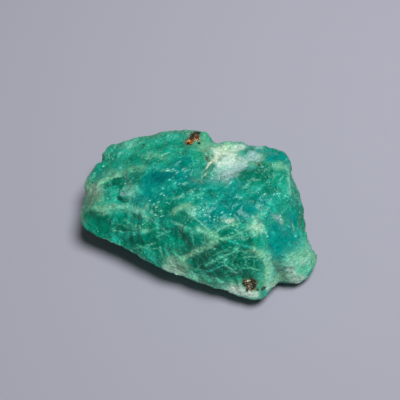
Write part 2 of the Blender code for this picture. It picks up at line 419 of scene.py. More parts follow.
def relief(points, surface, view, tree):
    """How far each point is lifted along its normal, in millimetres."""
    step_rise = surface.step_rise / MM
    chip_lift = surface.chip_lift / MM
    chip_size = surface.chip_size / MM
    chipped = patches(points, 5.0, seed=9, low=-0.35, high=0.25, octaves=2)
    lift = step_rise * steps(points, SHEET_NORMAL, SHEET_SPACING, seed=3)
    lift += step_rise * CROSS_SHARE * steps(points, CROSS_NORMAL, CROSS_SPACING, seed=5)
    lift += chip_lift * chips(points, chip_size, seed=2) * chipped
    lift += chip_lift * FINE_CHIP_SHARE * chips(points, chip_size * FINE_CHIP_SHARE, seed=4)
    lift += surface.crystal_lift / MM * chips(points, surface.crystal_size / MM, seed=6)
    lift += surface.grain_lift / MM * cloud(points, SUGAR_SIZE, seed=7)
    lift *= 1.0 - CLEAR_LOSS * clearness(points, view, tree)
    for depth, half_width, soft, places in DENTS:
        near, amount = stroke(points, view, tree, half_width, soft, places)
        lift[near] -= depth * amount
    return lift * rise(0.0, FOOT_FADE, points[:, 2])


def lift_surface(stone, surface, view):
    """Moves every vertex by the relief, and keeps the stone above the floor and near its solid."""
    mesh = stone.data
    points = vertex_array(mesh) / MM
    normals = vertex_array(mesh, "normal")
    lift = relief(points, surface, view, tree_of(stone))
    points += normals * lift[:, None]
    points[:, 2] = np.maximum(points[:, 2], 0.0)
    low, high = (np.array(corner) / MM for corner in SOLID_BOX)
    points = np.clip(points, low - BOX_MARGIN, high + BOX_MARGIN)
    mesh.vertices.foreach_set("co", (points * MM).astype(np.float32).ravel())
    mesh.update()


def edge_sharpness(mesh, passes=3):
    """Above 0 on ridges and rims, below 0 in cracks, averaged over the near neighbours."""
    points = vertex_array(mesh) / MM
    normals = vertex_array(mesh, "normal")
    ends = np.empty(len(mesh.edges) * 2, np.int32)
    mesh.edges.foreach_get("vertices", ends)
    a, b = ends.reshape(-1, 2).T
    count = np.bincount(np.concatenate((a, b)), minlength=len(points)).astype(float)

    def around(values):
        summed = np.bincount(a, values[b], len(points)) + np.bincount(b, values[a], len(points))
        return summed / count

    offset = np.column_stack([around(points[:, k]) for k in range(3)]) - points
    bend = -(offset * normals).sum(axis=1)
    for _ in range(passes):
        bend = 0.5 * bend + 0.5 * around(bend)
    return bend


# Marks on the photographed side: colour, strength, half width, soft edge, places. Later marks
# cover earlier ones.

# On the back brow, from the west corner to the rust pit.
BROW = (
    ("pale_moss", 0.3, 1.0, 1.6, ((-13.4, 7.6), (-8.4, 9.8), (-3.4, 11.0), (0.8, 10.6))),
    ("pale_moss", 0.35, 0.6, 1.0, ((0.6, 10.2), (1.2, 8.6), (1.0, 7.4))),
    ("sea_green", 0.7, 1.8, 1.5, ((-13.5, 7.4), (-9.0, 8.6), (-4.0, 9.2), (-2.0, 7.4))),
    ("pale_teal", 0.45, 0.8, 0.9, ((-14.6, 8.0), (-12.2, 7.7))),
    ("mint", 0.5, 0.4, 0.8, ((-12.4, 9.2), (-11.8, 9.0), (-10.9, 9.4))),
    ("olive_grey", 0.4, 0.3, 0.5, ((-14.7, 8.9), (-13.2, 9.0))),
    ("bottle_green", 0.65, 0.3, 0.45, ((-14.8, 7.5), (-15.0, 6.8), (-14.7, 6.3))),
    ("bottle_green", 0.65, 0.25, 0.45, ((-12.5, 6.1), (-11.9, 6.1), (-11.4, 6.6))),
    ("leaf_green", 0.6, 0.35, 0.5, ((-11.9, 5.7), (-11.6, 5.3))),
    ("bottle_green", 0.45, 0.4, 0.5, ((-10.9, 7.1), (-10.0, 7.2))),
    ("bottle_green", 0.5, 0.35, 0.5, ((-9.0, 6.4), (-7.9, 6.2), (-7.2, 6.3))),
    ("bottle_green", 0.6, 0.4, 0.5, ((-6.9, 8.4), (-6.3, 8.8), (-5.6, 9.2))),
    ("bottle_green", 0.6, 0.2, 0.35, ((-3.2, 7.7), (-2.8, 7.7))),
    ("bottle_green", 0.45, 0.2, 0.4, ((-4.6, 8.7), (-4.0, 8.7))),
    ("bottle_green", 0.4, 0.2, 0.35, ((-3.1, 9.4), (-2.9, 8.9))),
    ("pale_moss", 0.4, 0.3, 0.8, ((-8.6, 7.3), (-6.8, 7.4), (-5.5, 6.9))),
    ("pale_teal", 0.5, 0.4, 0.7, ((-8.1, 4.9), (-7.2, 5.1), (-6.2, 5.5))),
    ("pale_teal", 0.45, 0.3, 0.6, ((-7.8, 9.5), (-6.3, 9.7))),
    ("pale_teal", 0.4, 0.3, 0.5, ((-13.6, 6.9), (-13.2, 5.9))),
    ("pale_teal", 0.4, 0.3, 0.6, ((-4.9, 6.9), (-4.7, 8.4))),
    ("pale_teal", 0.35, 0.4, 0.6, ((-5.2, 10.2), (-4.0, 10.6))),
    ("mint", 0.6, 0.09, 0.2, ((-6.2, 7.4), (-5.7, 7.6), (-5.1, 7.9))),
    ("mint", 0.6, 0.07, 0.2, ((-8.9, 6.8), (-8.3, 6.85))),
    ("mint", 0.45, 0.12, 0.25, ((-13.7, 7.6), (-13.0, 7.7))),
    ("mint", 0.4, 0.1, 0.25, ((-9.8, 9.4), (-9.5, 9.6))),
    ("umber", 0.8, 0.1, 0.12, ((-9.3, 9.2), (-9.2, 9.1))),
    ("leaf_green", 0.45, 0.8, 1.0, ((0.7, 10.3), (0.2, 8.6), (-0.4, 6.6))),
    ("pale_moss", 0.45, 0.4, 0.8, ((1.1, 9.1), (0.2, 8.3))),
    ("pale_teal", 0.4, 0.3, 0.6, ((-1.1, 8.3), (-1.7, 7.2), (-1.2, 6.3))),
    ("pale_teal", 0.35, 0.3, 0.6, ((-0.6, 5.9), (-0.7, 4.5))),
    ("bark_brown", 0.35, 0.35, 0.6, ((-2.0, 8.8), (-0.6, 8.9))),
    ("russet", 0.85, 0.45, 0.35, ((-1.9, 9.6), (-1.3, 10.1), (-0.6, 10.4))),
    ("umber", 0.7, 0.2, 0.25, ((-1.0, 11.0), (-0.2, 11.0))),
    ("tan", 0.55, 0.2, 0.3, ((-0.7, 9.8), (-0.3, 9.8))),
    ("olive_grey", 0.45, 0.3, 0.6, ((-7.6, 10.9), (-6.2, 11.2))),
    ("olive_grey", 0.45, 0.3, 0.6, ((-2.2, 11.3), (-1.0, 11.1))),
    ("olive_grey", 0.4, 0.4, 0.7, ((-8.4, 10.4), (-6.8, 10.8))),
    ("olive_grey", 0.4, 0.4, 0.6, ((-4.8, 11.2), (-3.2, 11.4))),
)
# On the clear blue green heart.
CLEAR_HEART = (
    ("blue_teal", 0.7, 1.6, 1.8, (
        (-8.6, 2.2), (-4.0, 3.0), (-1.0, 2.0), (3.0, 0.6), (6.5, 1.2), (10.0, 0.6),
    )),
    ("blue_teal", 0.6, 1.2, 1.5, ((1.0, -2.8), (5.0, -1.6), (9.4, -2.0), (12.0, -1.0))),
    ("blue_teal", 0.95, 1.1, 1.1, ((-8.9, 2.6), (-6.5, 3.6), (-3.6, 3.9), (-3.0, 5.6))),
    ("blue_teal", 0.9, 1.0, 1.0, ((-9.4, 0.9), (-6.0, 1.4), (-3.0, 2.2))),
    ("blue_teal", 0.8, 0.8, 0.9, ((-10.3, -0.3), (-8.6, 0.2), (-6.0, 0.6))),
    ("ink_teal", 0.75, 0.45, 0.7, ((-7.2, 3.7), (-6.2, 3.4), (-5.2, 3.9), (-4.4, 4.1))),
    ("ink_teal", 0.6, 0.25, 0.5, ((-6.4, 4.6), (-5.4, 4.4))),
    ("bottle_green", 0.55, 0.5, 0.6, ((-3.4, 1.6), (-1.9, 1.9), (-0.6, 1.9))),
    ("pine", 0.45, 0.2, 0.4, ((-2.6, 2.2), (-1.9, 1.7))),
    ("bottle_green", 0.45, 0.5, 0.6, ((-10.6, 3.2), (-10.2, 2.4))),
    ("bottle_green", 0.5, 0.35, 0.5, ((-3.0, 5.9), (-2.4, 5.4))),
    ("pale_teal", 0.7, 0.22, 0.35, ((-4.3, 3.1), (-4.4, 2.5), (-4.1, 1.8))),
    ("pale_teal", 0.45, 0.25, 0.4, ((-6.3, 2.2), (-5.2, 2.0))),
    ("pale_teal", 0.4, 0.2, 0.4, ((-7.8, 1.9), (-7.2, 1.4))),
    ("mint", 0.75, 0.1, 0.15, ((-3.5, 2.6), (-3.3, 2.8))),
    ("mint", 0.75, 0.12, 0.18, ((-2.7, 2.6), (-2.3, 2.9))),
    ("mint", 0.7, 0.12, 0.18, ((-1.6, 1.1), (-1.2, 1.3))),
    ("mint", 0.55, 0.15, 0.25, ((-2.4, 4.7), (-2.2, 4.8))),
    ("mint", 0.45, 0.1, 0.25, ((-6.3, 4.8), (-5.6, 4.9), (-4.6, 4.8))),
)
# On the white cloud and the step west of it.
CLOUD = (
    ("pale_moss", 0.75, 0.7, 0.8, ((2.7, 8.5), (4.0, 8.9), (5.4, 8.8))),
    ("ice_blue", 0.8, 1.0, 1.2, ((3.0, 4.9), (4.8, 5.2), (6.6, 6.2), (8.8, 7.1))),
    ("ice_blue", 0.55, 0.7, 0.9, ((3.0, 3.9), (4.8, 3.9), (5.8, 4.8))),
    ("cloud_white", 0.9, 0.7, 1.2, ((3.0, 7.8), (4.8, 7.2), (5.2, 6.6), (3.4, 6.0))),
    ("cream", 0.5, 0.4, 1.0, ((2.9, 8.1), (4.3, 8.1))),
    ("cloud_white", 0.75, 0.35, 0.6, ((5.8, 8.3), (6.5, 8.8), (6.9, 8.9))),
    ("cloud_white", 0.7, 0.3, 0.5, ((4.3, 6.1), (5.0, 5.9))),
    ("cloud_white", 0.55, 0.25, 0.5, ((7.2, 6.1), (7.8, 6.3))),
    ("pale_teal", 0.5, 0.3, 0.5, ((7.0, 7.9), (7.7, 7.3))),
    ("ice_blue", 0.6, 0.35, 0.5, ((8.4, 7.2), (9.4, 7.3))),
    ("ice_blue", 0.5, 0.35, 0.5, ((9.3, 8.6), (10.0, 8.6))),
    ("olive_grey", 0.55, 0.16, 0.3, ((3.9, 7.4), (3.4, 7.1), (3.1, 6.6))),
    ("olive_grey", 0.5, 0.1, 0.22, ((5.9, 6.8), (6.1, 6.6))),
    ("olive_grey", 0.45, 0.2, 0.4, ((5.7, 4.2), (6.3, 4.5))),
    ("bottle_green", 0.55, 0.35, 0.45, ((8.1, 8.4), (8.8, 8.7))),
    ("sea_green", 0.7, 0.35, 0.5, ((10.5, 8.2), (11.0, 8.6))),
    ("pale_moss", 0.5, 0.4, 0.6, ((10.1, 7.2), (10.8, 6.8))),
    ("leaf_green", 0.65, 0.35, 0.5, ((8.6, 6.1), (9.3, 6.0), (10.5, 6.1))),
    ("bark_brown", 0.55, 0.2, 0.4, ((9.7, 6.2), (9.9, 6.0))),
    ("umber", 0.95, 0.13, 0.12, ((9.6, 5.7), (9.95, 5.7))),
    ("umber", 0.6, 0.08, 0.1, ((9.8, 6.45), (9.9, 6.45))),
    ("bottle_green", 0.75, 0.16, 0.3, ((2.1, 5.6), (1.6, 5.0), (1.2, 4.3), (0.7, 3.5))),
    ("bottle_green", 0.45, 0.2, 0.3, ((2.2, 5.4), (2.6, 5.3))),
    ("umber", 0.45, 0.08, 0.12, ((1.1, 4.1), (1.2, 4.2))),
    ("cream", 0.55, 0.1, 0.35, ((3.0, 7.3), (2.5, 6.7))),
    ("cream", 0.95, 0.1, 0.18, ((2.6, 6.7), (1.9, 6.3), (1.5, 5.8), (1.1, 5.25))),
    ("cream", 0.4, 0.06, 0.14, ((1.3, 4.6), (0.9, 4.3), (0.4, 3.85))),
    ("bark_brown", 0.6, 0.18, 0.3, ((1.05, 7.9), (1.15, 7.1), (1.35, 6.5))),
    ("umber", 0.55, 0.1, 0.15, ((1.15, 7.1), (1.2, 6.7))),
    ("bark_brown", 0.75, 0.12, 0.2, ((2.0, 7.3), (2.2, 7.3))),
    ("olive_grey", 0.42, 0.25, 0.6, ((-0.9, 3.3), (-0.3, 3.2), (0.3, 3.0))),
    ("bark_brown", 0.35, 0.1, 0.15, ((0.1, 2.9), (0.2, 2.8))),
    ("leaf_green", 0.4, 0.3, 0.6, ((1.8, 4.7), (2.4, 4.4))),
    ("sea_green", 0.55, 0.35, 0.5, ((2.1, 8.9), (2.8, 9.1))),
    ("sea_green", 0.5, 0.3, 0.5, ((1.8, 4.3), (2.4, 4.1))),
    ("pale_teal", 0.35, 0.35, 0.5, ((3.0, 5.1), (3.7, 5.2))),
)
# On the north east corner and what lies below it.
EAST_HEAD = (
    ("sea_green", 0.6, 1.3, 1.2, ((9.6, 2.6), (11.4, 2.8), (13.0, 3.8))),
    ("bottle_green", 0.35, 1.2, 1.2, ((9.0, 2.0), (11.4, 2.4), (12.6, 4.4))),
    ("blue_teal", 0.95, 0.75, 0.5, ((11.8, 6.9), (12.4, 7.4), (13.6, 7.1))),
    ("bottle_green", 0.5, 0.25, 0.4, ((12.4, 8.3), (13.4, 7.9), (14.1, 7.6))),
    ("ink_teal", 0.45, 0.2, 0.4, ((12.3, 6.8), (12.8, 7.2))),
    ("olive_grey", 0.3, 0.12, 0.3, ((14.4, 7.0), (14.6, 6.2))),
    ("pale_moss", 0.5, 0.2, 0.5, ((11.5, 5.4), (12.5, 5.7), (13.3, 6.1))),
    ("pale_moss", 0.5, 0.25, 0.5, ((12.6, 5.2), (13.6, 5.4), (14.8, 5.3))),
    ("mint", 0.65, 0.25, 0.5, ((14.6, 4.8), (14.7, 3.7), (14.8, 2.6), (14.6, 1.3))),
    ("sea_green", 0.7, 0.5, 0.6, ((12.2, 3.0), (13.3, 3.9))),
    ("bottle_green", 0.9, 0.55, 0.5, ((7.3, 4.4), (8.4, 4.6), (9.6, 4.6))),
    ("bottle_green", 0.8, 0.4, 0.5, ((6.9, 3.7), (7.8, 3.4), (8.8, 3.6))),
    ("pine", 0.85, 0.18, 0.25, ((10.3, 4.9), (9.9, 4.3), (9.6, 3.8), (9.2, 3.4))),
    ("pine", 0.75, 0.38, 0.35, ((10.4, 3.4), (11.0, 3.9), (11.3, 4.2))),
    ("bottle_green", 0.7, 0.2, 0.3, ((11.2, 4.4), (11.8, 4.6))),
    ("bottle_green", 0.55, 0.15, 0.3, ((11.6, 2.6), (12.6, 2.8))),
    ("bottle_green", 0.6, 0.3, 0.4, ((10.9, 1.5), (11.6, 1.9), (12.4, 1.8))),
    ("bottle_green", 0.55, 0.15, 0.25, ((10.7, 0.85), (11.2, 0.95))),
    ("blue_teal", 0.85, 0.5, 0.6, ((5.6, 2.7), (5.2, 1.9), (5.4, 0.9))),
    ("blue_teal", 0.7, 0.4, 0.5, ((9.6, 0.7), (11.0, 0.0))),
    ("bottle_green", 0.6, 0.2, 0.3, ((6.5, 2.5), (6.8, 2.0))),
    ("bottle_green", 0.65, 0.45, 0.5, ((7.2, -0.1), (8.6, 0.1))),
    ("pale_teal", 0.55, 0.35, 0.5, ((7.0, 0.7), (7.9, 1.0), (8.6, 1.6), (9.4, 1.9))),
    ("olive_grey", 0.3, 0.15, 0.2, ((8.3, 1.5), (8.6, 1.1))),
    ("pale_teal", 0.4, 0.2, 0.4, ((10.0, 2.1), (10.6, 2.6))),
    ("pale_teal", 0.55, 0.4, 0.6, ((13.4, 2.4), (14.2, 1.8))),
    ("blue_teal", 0.8, 0.25, 0.45, ((15.3, 0.4), (16.0, -0.6), (16.3, -1.6))),
    ("mint", 0.38, 0.05, 0.12, ((9.8, 3.4), (10.2, 4.2), (10.9, 4.8))),
    ("mint", 0.38, 0.05, 0.12, ((8.8, 2.4), (9.5, 2.9), (10.1, 3.3))),
    ("mint", 0.34, 0.06, 0.16, ((11.0, 2.9), (11.5, 3.7), (12.2, 4.5))),
    ("mint", 0.34, 0.06, 0.16, ((12.0, 3.5), (12.6, 4.3))),
    ("mint", 0.41, 0.07, 0.16, ((13.2, 3.2), (13.5, 3.7), (13.8, 4.2))),
    ("mint", 0.45, 0.06, 0.14, ((6.7, 1.9), (7.5, 2.3), (8.3, 2.9))),
    ("mint", 0.45, 0.05, 0.12, ((7.0, 1.8), (8.1, 2.3))),
    ("mint", 0.41, 0.05, 0.12, ((8.5, 2.2), (9.4, 2.5))),
    ("mint", 0.34, 0.08, 0.2, ((5.4, 3.2), (4.8, 2.6), (4.2, 2.0))),
    ("mint", 0.34, 0.05, 0.14, ((6.1, 3.8), (6.6, 2.8))),
    ("mint", 0.41, 0.08, 0.15, ((10.1, 0.7), (10.7, 1.0))),
    ("mint", 0.45, 0.12, 0.25, ((14.6, 1.1), (14.9, 0.8))),
    ("bottle_green", 0.65, 0.4, 0.5, ((10.3, 4.0), (11.0, 3.7))),
    ("sea_green", 0.65, 0.4, 0.6, ((8.8, 2.7), (9.8, 2.9))),
    ("bottle_green", 0.7, 0.4, 0.6, ((10.0, 5.2), (11.1, 5.3))),
    ("blue_teal", 0.6, 0.4, 0.6, ((6.0, 2.2), (6.6, 1.7))),
    ("bottle_green", 0.6, 0.35, 0.5, ((10.0, 3.7), (10.9, 3.9))),
    ("bottle_green", 0.45, 0.35, 0.5, ((8.7, 2.7), (9.5, 2.9))),
    ("bottle_green", 0.65, 0.35, 0.4, ((9.2, 5.0), (10.3, 4.8))),
)
# On the west end.
WEST_END = (
    ("pale_teal", 0.4, 1.0, 1.0, ((-17.0, 4.2), (-15.8, 1.4), (-13.8, -0.3))),
    ("leaf_green", 0.5, 0.4, 0.6, ((-18.0, 3.4), (-17.4, 2.9))),
    ("sea_green", 0.6, 0.4, 0.6, ((-17.3, 4.7), (-16.0, 5.3), (-14.2, 6.0))),
    ("olive_grey", 0.85, 0.7, 0.8, ((-18.6, 1.2), (-17.2, 1.3))),
    ("olive_grey", 0.8, 0.4, 0.6, ((-18.4, 0.0), (-17.9, -0.5), (-17.0, 0.3))),
    ("bark_brown", 0.3, 0.3, 0.5, ((-18.3, -0.3), (-18.0, 0.2))),
    ("pale_moss", 0.6, 0.3, 0.5, ((-16.6, 0.6), (-16.2, -0.4))),
    ("pale_moss", 0.9, 0.22, 0.35, (
        (-18.6, 2.1), (-17.4, 2.2), (-16.6, 2.8), (-15.8, 3.3), (-14.9, 3.6), (-13.6, 3.9),
    )),
    ("pale_moss", 0.42, 0.3, 0.8, ((-15.4, 4.2), (-13.4, 4.6), (-12.4, 4.8), (-10.9, 5.1), (-9.6, 5.4))),
    ("mint", 0.5, 0.1, 0.2, ((-14.4, 3.8), (-13.6, 3.9))),
    # Partly painted shade: the dark greens in this dent are partly the stone's own colour and partly the
    # shade in the hollow.
    ("bottle_green", 0.95, 0.3, 0.4, ((-16.0, 2.1), (-15.2, 2.3), (-14.6, 2.8), (-13.6, 3.0))),
    ("pine", 0.55, 0.1, 0.2, ((-14.8, 2.8), (-14.1, 3.4), (-13.1, 3.6))),
    ("bottle_green", 0.9, 0.28, 0.35, ((-13.1, 2.0), (-12.9, 2.6), (-12.4, 2.9))),
    ("blue_teal", 0.6, 0.25, 0.35, ((-14.2, 2.7), (-13.5, 2.8))),
    ("olive_grey", 0.45, 0.2, 0.5, ((-12.2, 3.9), (-11.7, 3.2), (-11.5, 2.2), (-12.0, 1.8))),
    ("bottle_green", 0.6, 0.25, 0.45, ((-11.5, 4.2), (-10.9, 4.1), (-10.3, 3.6))),
    ("pale_teal", 0.8, 0.3, 0.45, ((-10.4, 1.9), (-10.0, 1.4), (-10.8, 1.0))),
    ("pale_teal", 0.5, 0.3, 0.5, ((-11.8, 0.9), (-10.9, 0.4))),
    ("ice_blue", 0.5, 0.18, 0.35, ((-12.8, 1.0), (-12.0, 0.9), (-11.4, 1.1))),
    # Partly painted shade: the dark greens in this dent are partly the stone's own colour and partly the
    # shade in the hollow.
    ("pine", 0.9, 0.18, 0.28, ((-13.5, 0.25), (-12.8, 0.1), (-12.2, -0.1), (-11.5, 0.2))),
    ("bottle_green", 0.7, 0.2, 0.3, ((-12.4, -0.4), (-11.7, -0.3))),
    ("bottle_green", 0.5, 0.06, 0.14, ((-15.9, 1.3), (-15.4, 1.0), (-14.8, 1.3))),
    ("bottle_green", 0.45, 0.06, 0.14, ((-15.7, 0.6), (-15.2, 0.7), (-14.9, 0.2))),
    ("leaf_green", 0.55, 0.12, 0.22, ((-16.2, -0.4), (-15.3, -0.7))),
    ("leaf_green", 0.5, 0.1, 0.2, ((-17.0, -0.9), (-16.0, -1.1))),
    ("bottle_green", 0.5, 0.1, 0.2, ((-17.0, 5.6), (-16.2, 6.1))),
    ("bottle_green", 0.5, 0.12, 0.2, ((-16.3, 5.3), (-15.6, 5.2))),
    ("pale_moss", 0.75, 0.35, 0.5, ((-17.5, -1.4), (-16.6, -1.8), (-15.7, -1.7))),
    ("mint", 0.45, 0.2, 0.4, ((-14.8, -0.5), (-14.4, -0.7))),
    ("pale_moss", 0.85, 0.26, 0.4, ((-15.2, -1.4), (-14.2, -1.0), (-13.0, -1.2), (-12.0, -1.1))),
    ("mint", 0.85, 0.2, 0.32, ((-13.6, -1.1), (-12.2, -1.2), (-11.3, -1.6), (-10.5, -1.9), (-9.8, -2.2))),
    ("pale_moss", 0.85, 0.25, 0.35, ((-9.8, -2.1), (-9.1, -2.5), (-8.8, -3.0))),
    ("pale_moss", 0.6, 0.2, 0.4, ((-9.3, -2.0), (-8.7, -1.2))),
    ("mint", 0.6, 0.1, 0.22, ((-8.8, -3.0), (-7.8, -3.4), (-7.2, -3.9), (-6.4, -4.4), (-5.9, -4.8))),
    ("olive_grey", 0.5, 0.25, 0.4, ((-19.1, -0.4), (-19.4, -2.4), (-19.2, -3.4))),
    ("pale_moss", 0.45, 0.5, 0.8, ((-18.8, 2.8), (-19.0, 1.0))),
    ("pale_moss", 0.35, 0.3, 0.6, ((-19.2, -1.2), (-18.6, -2.2), (-18.0, -1.8))),
    ("pale_moss", 0.45, 0.4, 0.6, ((-17.9, 1.8), (-17.1, 1.4))),
    ("pale_moss", 0.45, 0.35, 0.6, ((-19.6, -2.0), (-19.4, -3.0))),
    ("pale_moss", 0.35, 0.4, 0.6, ((-15.9, 8.2), (-15.3, 7.6))),
    ("mint", 0.7, 0.4, 0.5, ((-10.3, -1.9), (-9.5, -2.2))),
    ("pale_teal", 0.6, 0.3, 0.5, ((-11.9, -1.9), (-11.1, -2.1))),
    # Partly painted shade: the dark green in this dent is partly the stone's own colour and partly the
    # shade in the hollow.
    ("bottle_green", 0.9, 0.32, 0.4, ((-15.7, 2.3), (-14.4, 2.8), (-13.2, 2.6))),
    ("mint", 0.45, 0.4, 0.6, ((-11.9, 1.9), (-10.6, 1.6), (-11.2, 0.8))),
    ("pale_moss", 0.45, 0.5, 0.7, ((-16.4, -1.9), (-15.6, -2.1))),
    ("mint", 0.5, 0.2, 0.4, ((-13.3, -1.6), (-12.2, -1.8))),
    # Partly painted shade: the pine in this dent is partly the stone's own colour and partly the shade in
    # the hollow.
    ("pine", 0.5, 0.15, 0.3, ((-15.4, 2.2), (-14.3, 2.7), (-13.4, 2.6))),
    ("mint", 0.7, 0.55, 0.8, ((-10.6, -2.1), (-9.5, -2.3))),
    ("pale_moss", 0.7, 0.5, 0.7, ((-19.6, -1.4), (-19.5, -3.2))),
    ("pale_moss", 0.45, 0.4, 0.6, ((-17.9, 1.8), (-17.1, 1.8))),
    ("pale_moss", 0.65, 0.35, 0.6, ((-18.2, -1.8), (-17.4, -2.2))),
    ("pale_teal", 0.5, 0.35, 0.5, ((-8.8, -2.1), (-8.0, -2.2))),
    ("mint", 0.3, 0.35, 0.5, ((-12.1, -1.9), (-11.2, -2.1))),
    ("cloud_white", 0.22, 0.5, 0.7, ((-18.0, 1.9), (-17.0, 1.7))),
    ("mint", 0.4, 0.35, 0.5, ((-13.5, -1.8), (-12.5, -1.8))),
    ("pale_moss", 0.35, 0.4, 0.6, ((-18.8, 2.6), (-18.2, 3.6))),
)
# On the west half of the front face.
WEST_FACE = (
    ("sea_green", 0.6, 1.6, 1.6, ((-13.0, -3.8), (-9.0, -5.6), (-5.0, -7.0), (-2.6, -8.0))),
    ("bottle_green", 0.3, 1.4, 1.6, ((-13.0, -4.6), (-9.0, -6.4), (-5.0, -8.0))),
    ("bottle_green", 0.8, 1.2, 0.8, ((-17.6, -3.2), (-15.6, -3.8), (-14.9, -5.2))),
    ("bottle_green", 0.7, 1.0, 0.8, ((-13.0, -4.6), (-11.6, -6.6), (-9.4, -6.6))),
    ("bottle_green", 0.6, 0.9, 0.9, ((-8.6, -5.2), (-7.0, -6.6), (-6.6, -9.2))),
    ("pine", 0.5, 0.3, 0.5, ((-17.9, -2.4), (-16.9, -2.9), (-16.2, -3.2))),
    ("pine", 0.45, 0.3, 0.5, ((-15.0, -3.0), (-14.7, -3.6))),
    ("bottle_green", 0.75, 0.35, 0.5, ((-12.0, -6.4), (-11.0, -6.9))),
    ("pine", 0.45, 0.25, 0.4, ((-13.3, -4.7), (-12.6, -5.0), (-11.8, -5.1))),
    ("bottle_green", 0.6, 0.25, 0.4, ((-10.0, -6.6), (-9.4, -6.8))),
    ("sea_green", 0.65, 0.35, 0.5, ((-13.2, -2.8), (-12.0, -3.0))),
    ("bottle_green", 0.6, 0.2, 0.35, ((-10.8, -2.7), (-10.1, -2.7))),
    ("leaf_green", 0.55, 0.25, 0.4, ((-8.5, -4.0), (-8.0, -4.2))),
    ("pale_teal", 0.28, 0.06, 0.2, ((-14.1, -2.4), (-14.1, -3.6), (-14.2, -5.8))),
    ("pale_teal", 0.4, 0.15, 0.3, ((-14.0, -3.2), (-13.8, -3.5))),
    ("pale_teal", 0.5, 0.25, 0.4, ((-12.1, -3.5), (-11.0, -3.9))),
    ("vein_green", 0.6, 0.05, 0.12, (
        (-14.0, -5.0), (-12.6, -5.3), (-11.6, -5.2), (-10.6, -5.3), (-9.4, -5.0),
    )),
    ("vein_green", 0.55, 0.05, 0.12, (
        (-12.4, -3.2), (-11.4, -3.9), (-10.4, -4.3), (-9.2, -5.0), (-8.2, -5.2),
    )),
    ("vein_green", 0.5, 0.05, 0.12, ((-10.4, -7.4), (-9.2, -7.8), (-8.0, -8.0), (-6.8, -7.9))),
    ("vein_green", 0.55, 0.05, 0.12, ((-11.2, -7.9), (-10.0, -8.1), (-8.8, -8.6))),
    ("vein_green", 0.45, 0.06, 0.16, (
        (-13.8, -3.9), (-12.9, -4.1), (-12.0, -4.4), (-11.3, -4.7), (-10.6, -4.8),
    )),
    ("vein_green", 0.4, 0.05, 0.14, ((-12.0, -3.6), (-11.3, -3.9))),
    ("vein_green", 0.55, 0.05, 0.12, ((-10.5, -4.4), (-10.1, -4.2), (-9.8, -4.5), (-10.2, -4.8))),
    ("vein_green", 0.45, 0.05, 0.12, ((-10.5, -4.7), (-10.0, -4.9), (-9.6, -4.7))),
    ("pale_teal", 0.55, 0.15, 0.3, ((-13.3, -5.6), (-11.6, -5.5), (-10.4, -5.5), (-9.4, -5.3))),
    ("mint", 0.5, 0.2, 0.35, ((-9.4, -5.2), (-8.8, -5.0))),
    ("vein_green", 0.35, 0.06, 0.16, ((-8.8, -5.0), (-7.8, -4.9), (-7.0, -4.6))),
    ("pale_teal", 0.55, 0.3, 0.4, ((-14.3, -6.3), (-13.4, -6.8))),
    ("pale_teal", 0.4, 0.15, 0.3, ((-12.2, -6.3), (-11.7, -6.0))),
    ("vein_green", 0.5, 0.06, 0.16, ((-10.4, -7.8), (-9.2, -7.7), (-8.3, -7.3), (-7.2, -7.0))),
    ("vein_green", 0.5, 0.08, 0.2, ((-9.4, -7.8), (-8.5, -8.2), (-7.6, -8.1))),
    ("pale_teal", 0.5, 0.35, 0.5, ((-8.8, -8.3), (-8.0, -9.2), (-7.4, -10.2))),
    ("pine", 0.5, 0.12, 0.2, ((-10.0, -8.2), (-9.5, -8.5))),
    ("vein_green", 0.4, 0.05, 0.14, ((-10.4, -7.9), (-10.1, -8.6))),
    # Partly painted light: this pale line along the lower rim is partly the stone's own colour and partly
    # the light that shines through the thin edge.
    ("vein_green", 0.6, 0.07, 0.14, (
        (-17.0, -6.0), (-16.3, -6.4), (-15.4, -6.4), (-14.8, -6.8), (-14.0, -7.1), (-13.1, -7.4),
    )),
    # Partly painted light: these pale lines along the lower rim are partly the stone's own colour and
    # partly the light that shines through the thin edge.
    ("vein_green", 0.75, 0.07, 0.14, (
        (-11.6, -8.2), (-11.0, -8.7), (-10.3, -9.0), (-9.6, -9.5), (-9.1, -9.6),
    )),
    ("vein_green", 0.75, 0.07, 0.14, ((-9.1, -9.6), (-8.7, -10.0), (-8.0, -10.4), (-7.0, -11.2))),
    ("pine", 0.65, 0.22, 0.35, ((-7.6, -1.5), (-7.2, -2.1), (-6.8, -2.6))),
    ("bottle_green", 0.5, 0.3, 0.5, ((-8.0, -1.9), (-6.2, -1.4))),
    ("bottle_green", 0.6, 0.6, 0.7, ((-17.9, -5.0), (-16.8, -5.7))),
)
